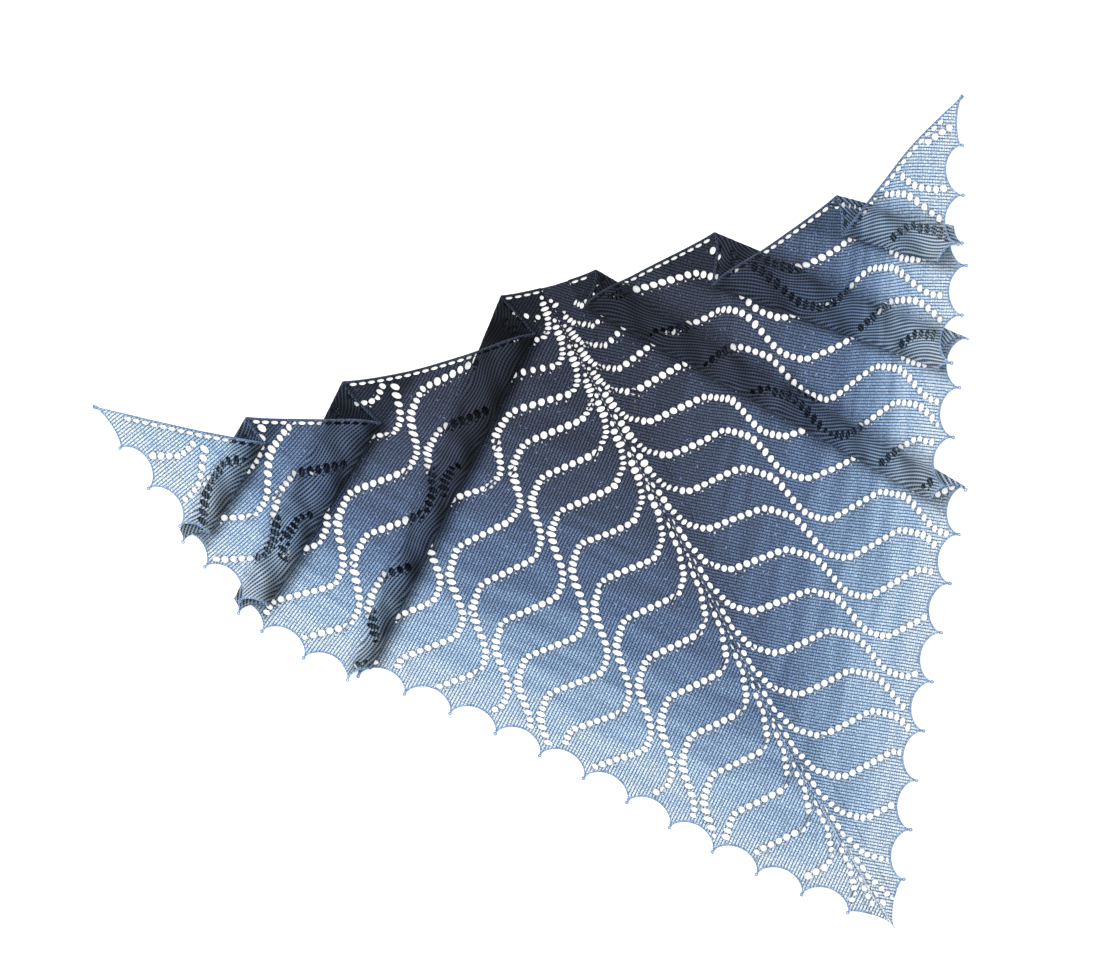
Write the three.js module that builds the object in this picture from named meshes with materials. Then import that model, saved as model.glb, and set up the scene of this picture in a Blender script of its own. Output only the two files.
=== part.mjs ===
// A triangle shawl knitted in lace, laid flat on a surface with three soft pleats in each wing.
//
// Millimetres, +Z up, and the surface that it lies on at Z = 0. The spine runs along -Y from
// the neck edge to the point, and +X is the wing on the right as seen from above. The origin is
// the middle of the shawl's box, on the surface.
//
// Each wing is one thin wall. It is drawn flat first, as a triangle with a scalloped edge, and
// its fold lines carry it into place. A flat point is (out, up): its distance out from the
// spine, and its height above the start of the spine. The left wing is drawn the same way and
// then mirrored.
import * as THREE from "three";

// The flat shawl
const SPINE_LENGTH = 800;
const SPINE_HALF_WIDTH = 15;
const WALL = 1.5;
const SEAM = 0.3;
const NECK_PIECES = 40;
const SPARE = 1.2;

// The scalloped edge: it comes to a point every PICOT_PITCH or so, and curves in between them.
const PICOT_PITCH = 54;
const SCALLOP = [
  { along: 0, inwards: 0 },
  { along: 0.09, inwards: 8.5 },
  { along: 0.27, inwards: 14.5 },
  { along: 0.5, inwards: 17 },
  { along: 0.73, inwards: 14.5 },
  { along: 0.91, inwards: 8.5 },
];
const SHALLOW_AT_ENDS = 0.35;

// A pleat folds the cloth back at its hidden line and forward again at its shown line. Each line
// is given as it lies on the surface, from its neck end to its edge end, as [out, up].
const WINGS = [
  {
    side: "left",
    mirror: -1,
    neck: [
      [0, 0], [50, 14], [112, 40], [188, 44], [260, 50], [331, 66], [390, 95],
      [446, 107], [525, 124], [614, 153], [665, 172], [741, 202],
    ],
    edge: [
      [0, -800], [68, -724], [138, -630], [220, -500], [302, -386], [398, -271],
      [447, -232], [509, -153], [592, -37], [678, 81], [741, 202],
    ],
    pleats: [
      { hidden: [[58, 17], [400.5, -268.3]], shown: [[43.7, -36.1], [385.6, -285.3]] },
      { hidden: [[260.6, 11.7], [467.3, -136.5]], shown: [[235.2, -42.1], [444.6, -165.7]] },
      { hidden: [[369.4, 29.5], [501.2, -52.6]], shown: [[359.6, -2.7], [464.3, -65.5]] },
    ],
    lace: { evenFrom: -185, start: 66.4, slope: 0.663, period: 139.3, drawnIn: 1.6, narrow: 1, lean: 0.4 },
  },
  {
    side: "right",
    mirror: 1,
    neck: [
      [0, 0], [54, -6], [100, 10], [158, 9], [257, 6], [314, 24], [383, 23],
      [478, 27], [530, 46], [590, 68], [640, 86], [712, 102],
    ],
    edge: [
      [0, -800], [56, -724], [119, -634], [207, -521], [295, -409], [366, -318],
      [435, -231], [521, -151], [571, -85], [640, -9], [675, 47], [712, 102],
    ],
    pleats: [
      { hidden: [[51.5, -12.5], [275.2, -374.8]], shown: [[9.1, -21.5], [245.7, -389.3]] },
      { hidden: [[184.3, -33.6], [357, -243.5]], shown: [[150.7, -78.7], [326.7, -276.2]] },
      { hidden: [[321.3, -59.2], [428.2, -157.5]], shown: [[301.4, -96.9], [386.6, -179.1]] },
    ],
    lace: { evenFrom: -270, start: 20.6, slope: 0.814, period: 158.2, drawnIn: 1.15, narrow: 0, lean: 1 },
  },
];

// How the cloth turns at a fold: reach is measured along the cloth to each side of the fold
// line, and rise is half of the height that the turn takes.
const HIDDEN_BEND = { reach: 2.6, rise: 2 };
const SHOWN_BEND = { reach: 3.8, rise: 2.9 };
const BEND_ANGLES = [-90, -54, -18, 18, 54];

// Heights of the middle of the wall: on the surface, doubled back, on top, and where the top
// stretch passes over the hidden bend. It comes down to the surface within SETTLE.
const REST = WALL / 2;
const DOUBLED = REST + 2 * HIDDEN_BEND.rise;
const TOP = DOUBLED + 2 * SHOWN_BEND.rise;
const OVER = DOUBLED + WALL + 0.5;
const SETTLE = 15;

// The lace is drawn in the knitter's own directions: across is along a row of stitches, which
// runs beside the scalloped edge, and down is from row to row. Each line of eyelets waves to and
// fro across LINE_STEP, out quickly and back slowly. The lines by the neck edge stand closer
// together where they start. Only the largest eyelets are cut, those on the way out.
const LINE_STEP = 40.5;
const LINES_BELOW = 11;
const LINES_ABOVE = 20;
const OUT_SHARE = 0.42;
const EYELETS_PER_WAVE = 23;
const CUT_OF_WAVE = [2, 4, 6, 8];
const EYELET = { along: 6, across: 9, sides: 6 };
const CLEAR_OF_SPINE = 24;
const CLEAR_OF_NECK = 14;
const CLEAR_OF_EDGE = 26;
const CLEAR_OF_FOLD = 7;

// The spine's own eyelets: two staggered rows of slots.
const SLOT = { across: 7, along: 4.4, out: 8.2, pitch: 25, first: 34, last: 756 };

const COLOURS = {
  middle: "#55648c",
  edge: "#a3b8dd",
};

const smooth = (x) => x * x * (3 - 2 * x);
const mix = THREE.MathUtils.lerp;
const clamp01 = (x) => THREE.MathUtils.clamp(x, 0, 1);
const vec = ([x, y]) => new THREE.Vector2(x, y);

// A line through two points, with its normal pointing outwards along the wing.
function lineThrough(a, b) {
  const along = b.clone().sub(a).normalize();
  const out = new THREE.Vector2(-along.y, along.x);
  if (out.x + out.y < 0) out.negate();
  return { at: a, along, out };
}

const distance = (line, q) => q.clone().sub(line.at).dot(line.out);
const moved = (line, by) => ({ ...line, at: line.at.clone().addScaledVector(line.out, by) });
const carried = (line, map) => {
  const far = line.at.clone().add(line.along);
  return lineThrough(line.at.clone().applyMatrix3(map), far.applyMatrix3(map));
};

const SPINE = lineThrough(new THREE.Vector2(0, 0), new THREE.Vector2(0, -1));

// The reflection in a line, as a matrix for flat points.
function reflection({ at, out }) {
  const { x, y } = out;
  const shift = 2 * at.dot(out);
  return new THREE.Matrix3().set(
    1 - 2 * x * x, -2 * x * y, shift * x,
    -2 * x * y, 1 - 2 * y * y, shift * y,
    0, 0, 1,
  );
}

const after = (first, then) => then.clone().multiply(first);

// The scalloped edge of one wing as flat points, from the shawl's point to the wing's tip.
function scallopedEdge(edge) {
  const curve = new THREE.SplineCurve(edge.map(vec));
  const count = Math.round(curve.getLength() / PICOT_PITCH);
  const points = [];
  for (let n = 0; n < count; n++)
    for (const { along, inwards } of SCALLOP) {
      const at = (n + along) / count;
      const { x, y } = curve.getTangentAt(at);
      const deep = n === 0 || n === count - 1 ? SHALLOW_AT_ENDS * inwards : inwards;
      points.push(curve.getPointAt(at).add(new THREE.Vector2(-y, x).multiplyScalar(deep)));
    }
  points.push(vec(edge.at(-1)));
  return points;
}

// The neck edge of one wing as flat points, from the spine to the wing's tip.
function neckEdge(neck) {
  return new THREE.SplineCurve(neck.map(vec)).getSpacedPoints(NECK_PIECES);
}

// Where a line across the wing meets an edge, with the edge's points next to it on each side.
function edgeCrossing(line, edge) {
  for (let n = edge.length - 2; n >= 0; n--) {
    const a = distance(line, edge[n]);
    const b = distance(line, edge[n + 1]);
    if (a <= 0 !== b <= 0) {
      const point = edge[n].clone().lerp(edge[n + 1], a / (a - b));
      const near = (m) => edge[m].distanceTo(point) < SPARE;
      return { point, last: near(n) ? n - 1 : n, next: near(n + 1) ? n + 2 : n + 1 };
    }
  }
  throw new Error("a line misses the edge");
}

// One wing, with each pleat's lines on the flat cloth and the map that carries each stretch.
function wingLayout({ neck, edge, pleats }) {
  const folded = [];
  let map = new THREE.Matrix3();
  for (const { hidden, shown } of pleats) {
    const hiddenLine = lineThrough(...hidden.map(vec));
    const shownLine = lineThrough(...shown.map(vec));
    const doubled = after(map, reflection(hiddenLine));
    const top = after(doubled, reflection(shownLine));
    folded.push({
      under: map,
      doubled,
      top,
      hidden: carried(hiddenLine, map.clone().invert()),
      shown: carried(shownLine, doubled.clone().invert()),
      over: carried(hiddenLine, top.clone().invert()),
      shownWhereItLies: shownLine,
    });
    map = top;
  }
  return { tip: vec(edge.at(-1)), folded, neck: neckEdge(neck), edge: scallopedEdge(edge) };
}

// The height of the stretch that lies on top of a pleat, and then comes down to the surface.
function liftOver(pleat, q) {
  const fromBend = distance(pleat.shown, q) - SHOWN_BEND.reach;
  const past = distance(pleat.over, q);
  if (past <= 0) return mix(TOP, OVER, smooth(clamp01(fromBend / (fromBend - past))));
  return mix(OVER, REST, smooth(clamp01(past / SETTLE)));
}

// Places flat points of a stretch with its right side up. No pleat means the one by the spine.
const stretchPlacer = (map, pleat) => (q) => {
  const at = q.clone().applyMatrix3(map);
  const z = pleat ? liftOver(pleat, q) : REST;
  return { at: new THREE.Vector3(at.x, at.y, z), normal: new THREE.Vector3(0, 0, 1) };
};

// Places flat points of the layer inside a pleat, which lies with its wrong side up.
const doubledPlacer = (map) => (q) => {
  const at = q.clone().applyMatrix3(map);
  return { at: new THREE.Vector3(at.x, at.y, DOUBLED), normal: new THREE.Vector3(0, 0, -1) };
};

// Places flat points within the reach of a bend. The cloth's right side turns inwards at a
// hidden bend, for which face is 1, and outwards at a shown one, for which it is -1.
function bendPlacer(fold, map, bend, base, face) {
  const ahead = fold.at.clone().add(fold.out).applyMatrix3(map);
  ahead.sub(fold.at.clone().applyMatrix3(map));
  return (q) => {
    const from = distance(fold, q);
    const angle = (Math.PI / 2) * THREE.MathUtils.clamp(from / bend.reach, -1, 1);
    const foot = q.clone().addScaledVector(fold.out, -from).applyMatrix3(map);
    foot.addScaledVector(ahead, -bend.reach * (1 - Math.cos(angle)));
    const z = base + bend.rise * (1 + Math.sin(angle));
    const flat = bend.rise * Math.cos(angle);
    const steep = bend.reach * Math.sin(angle);
    const normal = new THREE.Vector3(-ahead.x * flat, -ahead.y * flat, -steep);
    return { at: new THREE.Vector3(foot.x, foot.y, z), normal: normal.normalize().multiplyScalar(face) };
  };
}

// The stations of one turn of the cloth, up to the last, which belongs to the layer after it.
const bendStations = (fold, bend, place) =>
  BEND_ANGLES.map((degrees) => ({ line: moved(fold, (bend.reach * degrees) / 90), place }));

// How far a measured edge lies from the straight line between its ends, at a share of the way.
function bowOf(points) {
  const [from, to] = [vec(points[0]), vec(points.at(-1))];
  const chord = to.clone().sub(from);
  const curve = new THREE.SplineCurve(points.map(vec)).getSpacedPoints(200);
  const shares = curve.map((p) => p.clone().sub(from).dot(chord) / chord.lengthSq());
  return (share) => {
    const n = THREE.MathUtils.clamp(shares.findIndex((s) => s > share), 1, 200);
    const part = clamp01((share - shares[n - 1]) / (shares[n] - shares[n - 1]));
    const at = curve[n - 1].clone().lerp(curve[n], part);
    return at.sub(from.clone().addScaledVector(chord, share));
  };
}

// The knitter's directions on one wing: a place down and across, in millimetres, as a flat
// point. A row is shared out evenly between the spine and the neck edge.
function rowsOf({ neck, edge }) {
  const [point, tip] = [vec(edge[0]), vec(edge.at(-1))];
  const row = tip.clone().sub(point).normalize();
  const down = new THREE.Vector2(row.y, -row.x);
  const depth = point.dot(down);
  const lean = point.dot(row) / depth;
  const width = tip.distanceTo(point);
  const [neckBow, edgeBow] = [bowOf(neck), bowOf(edge)];
  const shares = (across, along) => {
    const share = along / depth;
    return { share, part: (across - lean * along) / (width * share) };
  };
  const flat = (across, along) => {
    const { share, part } = shares(across, along);
    return point
      .clone()
      .multiplyScalar(share * (1 - part))
      .addScaledVector(tip, share * part)
      .addScaledVector(neckBow(share), part)
      .addScaledVector(edgeBow(part), share ** 3);
  };
  const inCloth = (across, along) => {
    const { share, part } = shares(across, along);
    const row = width * share;
    return (
      share > 0 &&
      part * row > CLEAR_OF_SPINE &&
      (1 - part) * row > CLEAR_OF_NECK &&
      depth - along > CLEAR_OF_EDGE
    );
  };
  return { flat, inCloth };
}

// The to and fro of a line of eyelets, from 0 to 1 and back over one wave, with soft corners.
function sway(turn) {
  const zigzag = (x) => {
    const part = x - Math.floor(x);
    return part < OUT_SHARE ? part / OUT_SHARE : (1 - part) / (1 - OUT_SHARE);
  };
  return (zigzag(turn - 0.06) + 2 * zigzag(turn) + zigzag(turn + 0.06)) / 4;
}

// The eyelets that are cut in one wing, as rings of flat points.
function largestEyelets(settings) {
  const { evenFrom, start, slope, period, drawnIn, narrow, lean } = settings.lace;
  const rows = rowsOf(settings);
  const rings = [];
  for (let n = -LINES_BELOW; n <= LINES_ABOVE; n++) {
    const even = evenFrom + LINE_STEP * n;
    const drawn = even - drawnIn * Math.max(0, n + narrow) ** 2;
    const turns = (wave) => {
      const across = wave < 1 ? mix(drawn, even, clamp01(wave)) : even;
      const first = start - slope * mix(even, drawn, lean);
      const second = start - slope * even + period;
      const along = wave < 1 ? mix(first, second, wave) : second + (wave - 1) * period;
      return new THREE.Vector2(across + LINE_STEP * (sway(wave) - sway(0)), along);
    };
    for (let wave = 0; wave < 5; wave++)
      for (const eyelet of CUT_OF_WAVE) {
        const turn = wave + eyelet / EYELETS_PER_WAVE;
        const centre = turns(turn);
        const tangent = turns(turn + 0.02).sub(turns(turn - 0.02)).normalize();
        if (!rows.inCloth(centre.x, centre.y)) continue;
        const points = ring(new THREE.Vector2(), EYELET.along, EYELET.across, EYELET.sides);
        rings.push(
          points.map(({ x, y }) => {
            const across = centre.x + tangent.x * x - tangent.y * y;
            const along = centre.y + tangent.y * x + tangent.x * y;
            return rows.flat(across, along);
          }),
        );
      }
  }
  return rings.map((points) => (THREE.ShapeUtils.area(points) > 0 ? points.reverse() : points));
}

// A closed ring of points with that width and height.
function ring(centre, width, height, sides) {
  const points = [];
  for (let n = 0; n < sides; n++) {
    const turn = (-2 * Math.PI * (n + 0.25)) / sides;
    points.push(
      new THREE.Vector2(
        centre.x + (width / 2) * Math.cos(turn),
        centre.y + (height / 2) * Math.sin(turn),
      ),
    );
  }
  return points;
}

// Closes strips of flat cloth into one wall. A strip has an outline whose points each know where
// they lie, and rings for its holes. Edges named open join the next strip and get no side face.
function wallFrom(strips, mirror) {
  const corners = [];
  const side = (p, up) => p.at.clone().addScaledVector(p.normal, (up * WALL) / 2);
  const face = (...points) => {
    if (mirror < 0) points.reverse();
    for (const p of points) corners.push(mirror * p.x, p.y, p.z);
  };
  for (const { outline, holes, open } of strips) {
    const rings = [outline, ...holes];
    const all = rings.flat();
    const flats = rings.map((r) => r.map((p) => p.flat));
    for (const [a, b, c] of THREE.ShapeUtils.triangulateShape(flats[0], flats.slice(1))) {
      const [p, q, r] = [all[a], all[b], all[c]];
      face(side(p, 1), side(q, 1), side(r, 1));
      face(side(p, -1), side(r, -1), side(q, -1));
    }
    rings.forEach((points, which) =>
      points.forEach((p, n) => {
        if (which === 0 && open.includes(n)) return;
        const q = points[(n + 1) % points.length];
        face(side(p, 1), side(p, -1), side(q, -1));
        face(side(p, 1), side(q, -1), side(q, 1));
      }),
    );
  }
  const geometry = new THREE.BufferGeometry();
  geometry.setAttribute("position", new THREE.Float32BufferAttribute(corners, 3));
  geometry.computeVertexNormals();
  return geometry;
}

// One panel of a wing: the strips between its stations, from the spine's side outwards.
function panelStrips(wing, stations, eyelets) {
  const strips = [];
  for (let n = 0; n + 1 < stations.length; n++) {
    const [near, far] = [stations[n], stations[n + 1]];
    const put = (flat, station) => ({ flat, ...station.place(flat) });
    const ends = [wing.neck, wing.edge].map((edge) => ({
      edge,
      from: edgeCrossing(near.line, edge),
      to: far.tip ? { point: wing.tip, last: edge.length - 2 } : edgeCrossing(far.line, edge),
    }));
    const [top, low] = ends.map(({ edge, from, to }) => ({
      from: put(from.point, near),
      to: put(to.point, far),
      between: edge.slice(from.next, to.last + 1).map((flat) => put(flat, near)),
    }));
    const outline = [top.from, low.from, ...low.between, low.to];
    const farSide = outline.length - 1;
    if (!far.tip) outline.push(top.to);
    outline.push(...top.between.reverse());
    const open = [];
    if (n > 0) open.push(0);
    if (n + 2 < stations.length) open.push(farSide);
    const holes = near.cut
      ? eyelets
          .filter((points) => points.every((q) => near.cut(q)))
          .map((points) => points.map((flat) => put(flat, near)))
      : [];
    strips.push({ outline, holes, open });
  }
  return strips;
}

// A wing's panels, each as strips. The first lies beside the spine, and each other one starts
// with the pleat that carries it.
function wingPanels(settings) {
  const wing = wingLayout(settings);
  const eyelets = largestEyelets(settings);
  const spineSide = moved(SPINE, SPINE_HALF_WIDTH + SEAM);
  const clearOf = (line, way) => (q) => way * distance(line, q) > CLEAR_OF_FOLD;
  const panels = [];
  for (let n = 0; n <= wing.folded.length; n++) {
    const pleat = wing.folded[n - 1];
    const next = wing.folded[n];
    const map = pleat ? pleat.top : new THREE.Matrix3();
    const place = stretchPlacer(map, pleat);
    const nextLies = next && carried(next.shownWhereItLies, map.clone().invert());
    const last = next
      ? { line: moved(next.hidden, -HIDDEN_BEND.reach - SEAM), place }
      : { tip: true, place };
    const beforeNext = (q) => !next || clearOf(nextLies, -1)(q);
    const cutBetween = (from, to) => (q) =>
      beforeNext(q) && clearOf(from, 1)(q) && (!to || clearOf(to, -1)(q));
    let stations;
    if (!pleat) stations = [{ line: spineSide, place, cut: cutBetween(spineSide) }, last];
    else {
      const { hidden, shown, over, under, doubled } = pleat;
      const bendEnd = moved(shown, SHOWN_BEND.reach);
      const settled = moved(over, SETTLE);
      stations = [
        ...bendStations(hidden, HIDDEN_BEND, bendPlacer(hidden, under, HIDDEN_BEND, REST, 1)),
        { line: moved(hidden, HIDDEN_BEND.reach), place: doubledPlacer(doubled) },
        ...bendStations(shown, SHOWN_BEND, bendPlacer(shown, doubled, SHOWN_BEND, DOUBLED, -1)),
        { line: bendEnd, place, cut: cutBetween(bendEnd, over) },
        { line: over, place },
        { line: moved(over, SETTLE / 2), place },
        { line: settled, place, cut: cutBetween(settled) },
        last,
      ];
    }
    panels.push(panelStrips(wing, stations, eyelets));
  }
  return { wing, panels };
}

// The band along the spine, flat on the surface, with its two rows of slots.
function spineStrips(wings) {
  const place = stretchPlacer(new THREE.Matrix3());
  const put = (x, y) => {
    const flat = new THREE.Vector2(x, y);
    return { flat, ...place(flat) };
  };
  const sideLine = moved(SPINE, SPINE_HALF_WIDTH);
  const [left, right] = wings.map(({ wing }) => {
    const top = edgeCrossing(sideLine, wing.neck);
    const low = edgeCrossing(sideLine, wing.edge);
    return {
      top: [...wing.neck.slice(1, top.last + 1), top.point],
      low: [...wing.edge.slice(1, low.last + 1), low.point],
    };
  });
  const outline = [
    put(0, 0),
    ...left.top.map((q) => put(-q.x, q.y)),
    ...left.low.reverse().map((q) => put(-q.x, q.y)),
    put(0, -SPINE_LENGTH),
    ...right.low.map((q) => put(q.x, q.y)),
    ...right.top.reverse().map((q) => put(q.x, q.y)),
  ];
  const holes = [];
  for (let down = SLOT.first; down < SLOT.last; down += SLOT.pitch)
    for (const out of [-SLOT.out, SLOT.out])
      holes.push(
        ring(new THREE.Vector2(out, -down - out / 2), SLOT.across, SLOT.along, EYELET.sides).map((q) => put(q.x, q.y)),
      );
  return [{ outline, holes, open: [] }];
}

const cloth = (name, geometry, colour) => {
  const material = new THREE.MeshStandardMaterial({ color: colour, roughness: 0.95, metalness: 0 });
  const mesh = new THREE.Mesh(geometry, material);
  mesh.name = name;
  return mesh;
};

const laid = new THREE.Group();
const wings = WINGS.map(wingPanels);
laid.add(cloth("spine_band", wallFrom(spineStrips(wings), 1), COLOURS.middle));
wings.forEach(({ panels }, n) =>
  panels.forEach((strips, m) => {
    const colour = m + 1 < panels.length ? COLOURS.middle : COLOURS.edge;
    laid.add(cloth(`${WINGS[n].side}_panel_${m + 1}`, wallFrom(strips, WINGS[n].mirror), colour));
  }),
);

const box = new THREE.Box3().setFromObject(laid);
const middle = box.getCenter(new THREE.Vector3());
laid.position.set(-middle.x, -middle.y, 0);

const shawl = new THREE.Group();
shawl.add(laid);

export default shawl;
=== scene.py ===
"""A hand-knitted lace shawl, laid flat with three soft pleats in each wing, and its studio.

Flat sizes are in millimetres, as on the knitter's chart: a flat point is (out, up), its distance
out from the spine and its height above the spine's start. The left wing is drawn like the right
one and mirrored. Knitted places are (across, down): along a row of stitches, and from row to row.
"""
import math
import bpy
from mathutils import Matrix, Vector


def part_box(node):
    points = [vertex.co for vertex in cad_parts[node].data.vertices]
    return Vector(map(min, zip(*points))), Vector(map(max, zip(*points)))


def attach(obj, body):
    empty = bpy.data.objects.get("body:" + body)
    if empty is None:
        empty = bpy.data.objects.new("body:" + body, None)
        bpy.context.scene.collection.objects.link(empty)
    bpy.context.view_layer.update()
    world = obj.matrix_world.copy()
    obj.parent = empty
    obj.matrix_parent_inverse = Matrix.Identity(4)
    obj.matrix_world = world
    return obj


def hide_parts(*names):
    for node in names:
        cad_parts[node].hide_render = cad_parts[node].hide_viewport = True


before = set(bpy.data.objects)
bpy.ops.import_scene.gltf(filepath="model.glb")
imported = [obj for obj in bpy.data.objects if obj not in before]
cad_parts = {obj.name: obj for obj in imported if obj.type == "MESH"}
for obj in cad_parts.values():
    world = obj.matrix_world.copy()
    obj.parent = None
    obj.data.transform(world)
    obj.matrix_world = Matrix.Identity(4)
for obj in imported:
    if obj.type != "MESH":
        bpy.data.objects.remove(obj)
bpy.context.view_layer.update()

from types import SimpleNamespace

import bpy
import numpy as np
from bpy.props import FloatProperty, FloatVectorProperty, PointerProperty
from mathutils import Vector
from mathutils.geometry import delaunay_2d_cdt
from mathutils.kdtree import KDTree

bl_info = {
    "name": "Lace Shawl",
    "version": (1, 0, 0),
    "blender": (4, 5, 0),
    "location": "3D View > Sidebar > Shawl",
    "description": "Knits a triangular lace shawl, binds its edges and lays it in a plain studio",
    "category": "Add Mesh",
}

MM = 0.001

# The flat shawl
SPINE_LENGTH = 800
SPINE_HALF_WIDTH = 15
SEAM = 0.12
NECK_STEP, SIDE_STEP = 1.8, 3.5
LEAST_STEP = 0.5
PICOT_PITCH = 54
SCALLOP_DEPTH = 17
SCALLOP_ROUND = 0.62
SCALLOP_STEPS = 16
SHALLOW_AT_ENDS = 0.35

# A pleat turns the cloth back at its hidden line and forward again at its shown line. Each line
# is given as it lies, from its neck end to its edge end.
WINGS = {
    "left": {
        "mirror": -1,
        "neck": [
            (0, 0), (50, 14), (112, 40), (188, 44), (260, 50), (331, 66), (390, 95),
            (446, 107), (525, 124), (614, 153), (665, 172), (741, 202),
        ],
        "edge": [
            (0, -800), (68, -724), (138, -630), (220, -500), (302, -386), (398, -271),
            (447, -232), (509, -153), (592, -37), (678, 81), (741, 202),
        ],
        "pleats": [
            {"hidden": ((58, 17), (400.5, -268.3)), "shown": ((43.7, -36.1), (385.6, -285.3))},
            {"hidden": ((260.6, 11.7), (467.3, -136.5)), "shown": ((235.2, -42.1), (444.6, -165.7))},
            {"hidden": ((369.4, 29.5), (501.2, -52.6)), "shown": ((359.6, -2.7), (464.3, -65.5))},
        ],
        "lace": {
            "even_from": -185, "start": 66.4, "slope": 0.663, "period": 139.3,
            "drawn_in": 1.6, "narrow": 1, "lean": 0.4, "swing": 1.06, "swell": 3.2,
            "gathered": ((3, 4, 5, 6), (0, 7, 9.6, 10.8)),
        },
    },
    "right": {
        "mirror": 1,
        "neck": [
            (0, 0), (54, -6), (100, 10), (158, 9), (257, 6), (314, 24), (383, 23),
            (478, 27), (530, 46), (590, 68), (640, 86), (712, 102),
        ],
        "edge": [
            (0, -800), (56, -724), (119, -634), (207, -521), (295, -409), (366, -318),
            (435, -231), (521, -151), (571, -85), (640, -9), (675, 47), (712, 102),
        ],
        "pleats": [
            {"hidden": ((51.5, -12.5), (275.2, -374.8)), "shown": ((9.1, -21.5), (245.7, -389.3))},
            {"hidden": ((184.3, -33.6), (357, -243.5)), "shown": ((150.7, -78.7), (326.7, -276.2))},
            {"hidden": ((321.3, -59.2), (428.2, -157.5)), "shown": ((301.4, -96.9), (386.6, -179.1))},
        ],
        "lace": {
            "even_from": -270, "start": 20.6, "slope": 0.814, "period": 158.2,
            "drawn_in": 1.15, "narrow": 0, "lean": 1, "swing": 0.96, "swell": 1.6,
            "gathered": ((4, 5, 6, 7, 8), (0, 2, 7.9, 11, 13.4)),
        },
    },
}

# How the cloth turns at a fold, and the heights of the middle of its wall
HIDDEN_REACH, HIDDEN_RISE = 2.6, 2.0
SHOWN_REACH, SHOWN_RISE = 4.4, 3.8
REST = 0.75
DOUBLED = REST + 2 * HIDDEN_RISE
TOP = DOUBLED + 2 * SHOWN_RISE
OVER = DOUBLED + 2.0
SETTLE = 15
BEND_STEPS = (-1, -0.6, -0.2, 0.2, 0.6, 1)
PUFF, PUFF_EARLY = 2.6, 0.7
PUFF_UNEVEN, PUFF_WAVES, PUFF_WAVES_BENT = 0.55, (31, 53), 1.6
CLEAR = 0.25
WAVE_HEIGHT, WAVES, WAVES_BENT = 0.55, (37, 61, 43, 71), (1.7, 1.3)
CREASE_DEPTH, CREASE_ENDS, LEAST_FREE = 1.25, 0.8, 0.25
CREASE_BENT, CREASE_BENDS = 0.5, 5
RIDGE_ROUND, RIDGE_LESS_AT_RIM = 0.7, 0.6

# Shade by the fold, on the pleat's far end, past that end, and on the cloth that the fold lies on
FOLD_SHADES = {"left": (0.5, 0.2, 0.25, 0.6), "right": (0.12, 0.42, 0.35, 0.4)}
FOLD_SHADE_WIDTHS = (12, 11, 8, 8)
LEAST_SHADE = 0.12
RIPPLE_SHADE, RIPPLES = 0.3, (11, 9)
# How far before a pleat's far end the layered stretch, with its twist and its painted shade of the layers
# beneath, fades out
LAYERS_SHOW = 9
TWIST, TWISTS = 0.6, (15, 17, 8.5, 13)

# How much darker in its colours each panel is near the neck, and how the point is paler
PANEL_DARKENING, DARKENING_FADES_AT, DARKENING_FADES_OVER = (0, 0.09, 0.09, 0), 0.7, 0.22
PALER_POINT, PALER_WITHIN = 0.12, 150

# Soft creases as laid: from (x, y), to (x, y), how wide and how high, a trough being below nought
CREASES = {
    "left": (
        (52, -62, 148, -118, 7, 1.5), (118, -100, 228, -186, 6, -1.1), (205, -152, 300, -226, 8, 1.7),
        (282, -222, 368, -278, 6, -1.2), (330, -240, 382, -270, 5, 1.3), (246, -66, 322, -98, 7, 1.5),
        (300, -92, 392, -146, 6, -1.1), (360, -112, 440, -158, 7, 1.4), (366, -12, 418, -40, 6, 1.2),
        (404, -34, 458, -60, 5, -0.9), (120, -220, 190, -262, 14, 0.8), (60, -330, 150, -372, 16, 0.7),
        (210, -300, 250, -352, 12, 0.6), (480, -60, 560, 10, 12, 0.6),
    ),
    "right": (
        (22, -38, 88, -120, 7, 1.5), (64, -96, 146, -214, 6, -1.2), (128, -190, 202, -312, 8, 1.7),
        (176, -290, 236, -372, 6, -1.1), (206, -318, 262, -372, 6, 1.3), (166, -86, 232, -150, 7, 1.5),
        (212, -140, 290, -226, 6, -1.2), (264, -196, 330, -262, 7, 1.5), (312, -96, 356, -132, 6, 1.3),
        (344, -128, 398, -170, 5, -1.0), (90, -330, 160, -402, 15, 0.8), (60, -470, 128, -520, 16, 0.7),
        (250, -60, 300, -28, 12, 0.6), (480, -90, 540, -30, 12, 0.6),
    ),
}

# The lines of eyelets. Each one swings out, keeps level, swings back and keeps level again.
LINE_STEP = 40.5
LINES_BELOW, LINES_ABOVE = 12, 21
EYELETS_PER_WAVE = 21
# An eyelet on the way out and one on the way back: how much it leans, its width and its length
OUT_EYELET, BACK_EYELET = (0.4, 7.9, 8.2), (0.8, 8.6, 6.3)
SWELL_AT, SWELL_REACH = 0.62, 0.13
STRAND_BETWEEN = 1.3
LEAST_LONG = 2.6
WIDE_UNEVEN, LONG_UNEVEN = (0.9, 1.08), (0.93, 1.02)
PIN_HOLES, PIN_HOLE_OFF, PIN_HOLE_SIDES = (1.6, 2.6), 2.2, 6
WAVES_IN_LINE, TURN_STEP = 7, 0.015
SWING = (
    (0, 0), (0.345, 1), (0.46, 0.96), (0.56, 0.91), (0.66, 0.62),
    (0.74, 0.33), (0.82, 0.1), (0.88, 0.03), (1, 0),
)
SWING_LATE = 0.028
SWING_LOW = 0.06
OUT_PART = 0.36
GATHERED_WITHIN, GATHERED_TO = 130, 0.7
STRETCHED, STRETCHED_WITHIN = 1.35, 4
HOLE_SIDES = 10
FEW_SIDES = 8
RIM_WIDTH = 1.0
SLOT_LENGTH = 8.2
SLOT_WIDTHS = (2.9, 4.8)
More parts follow.
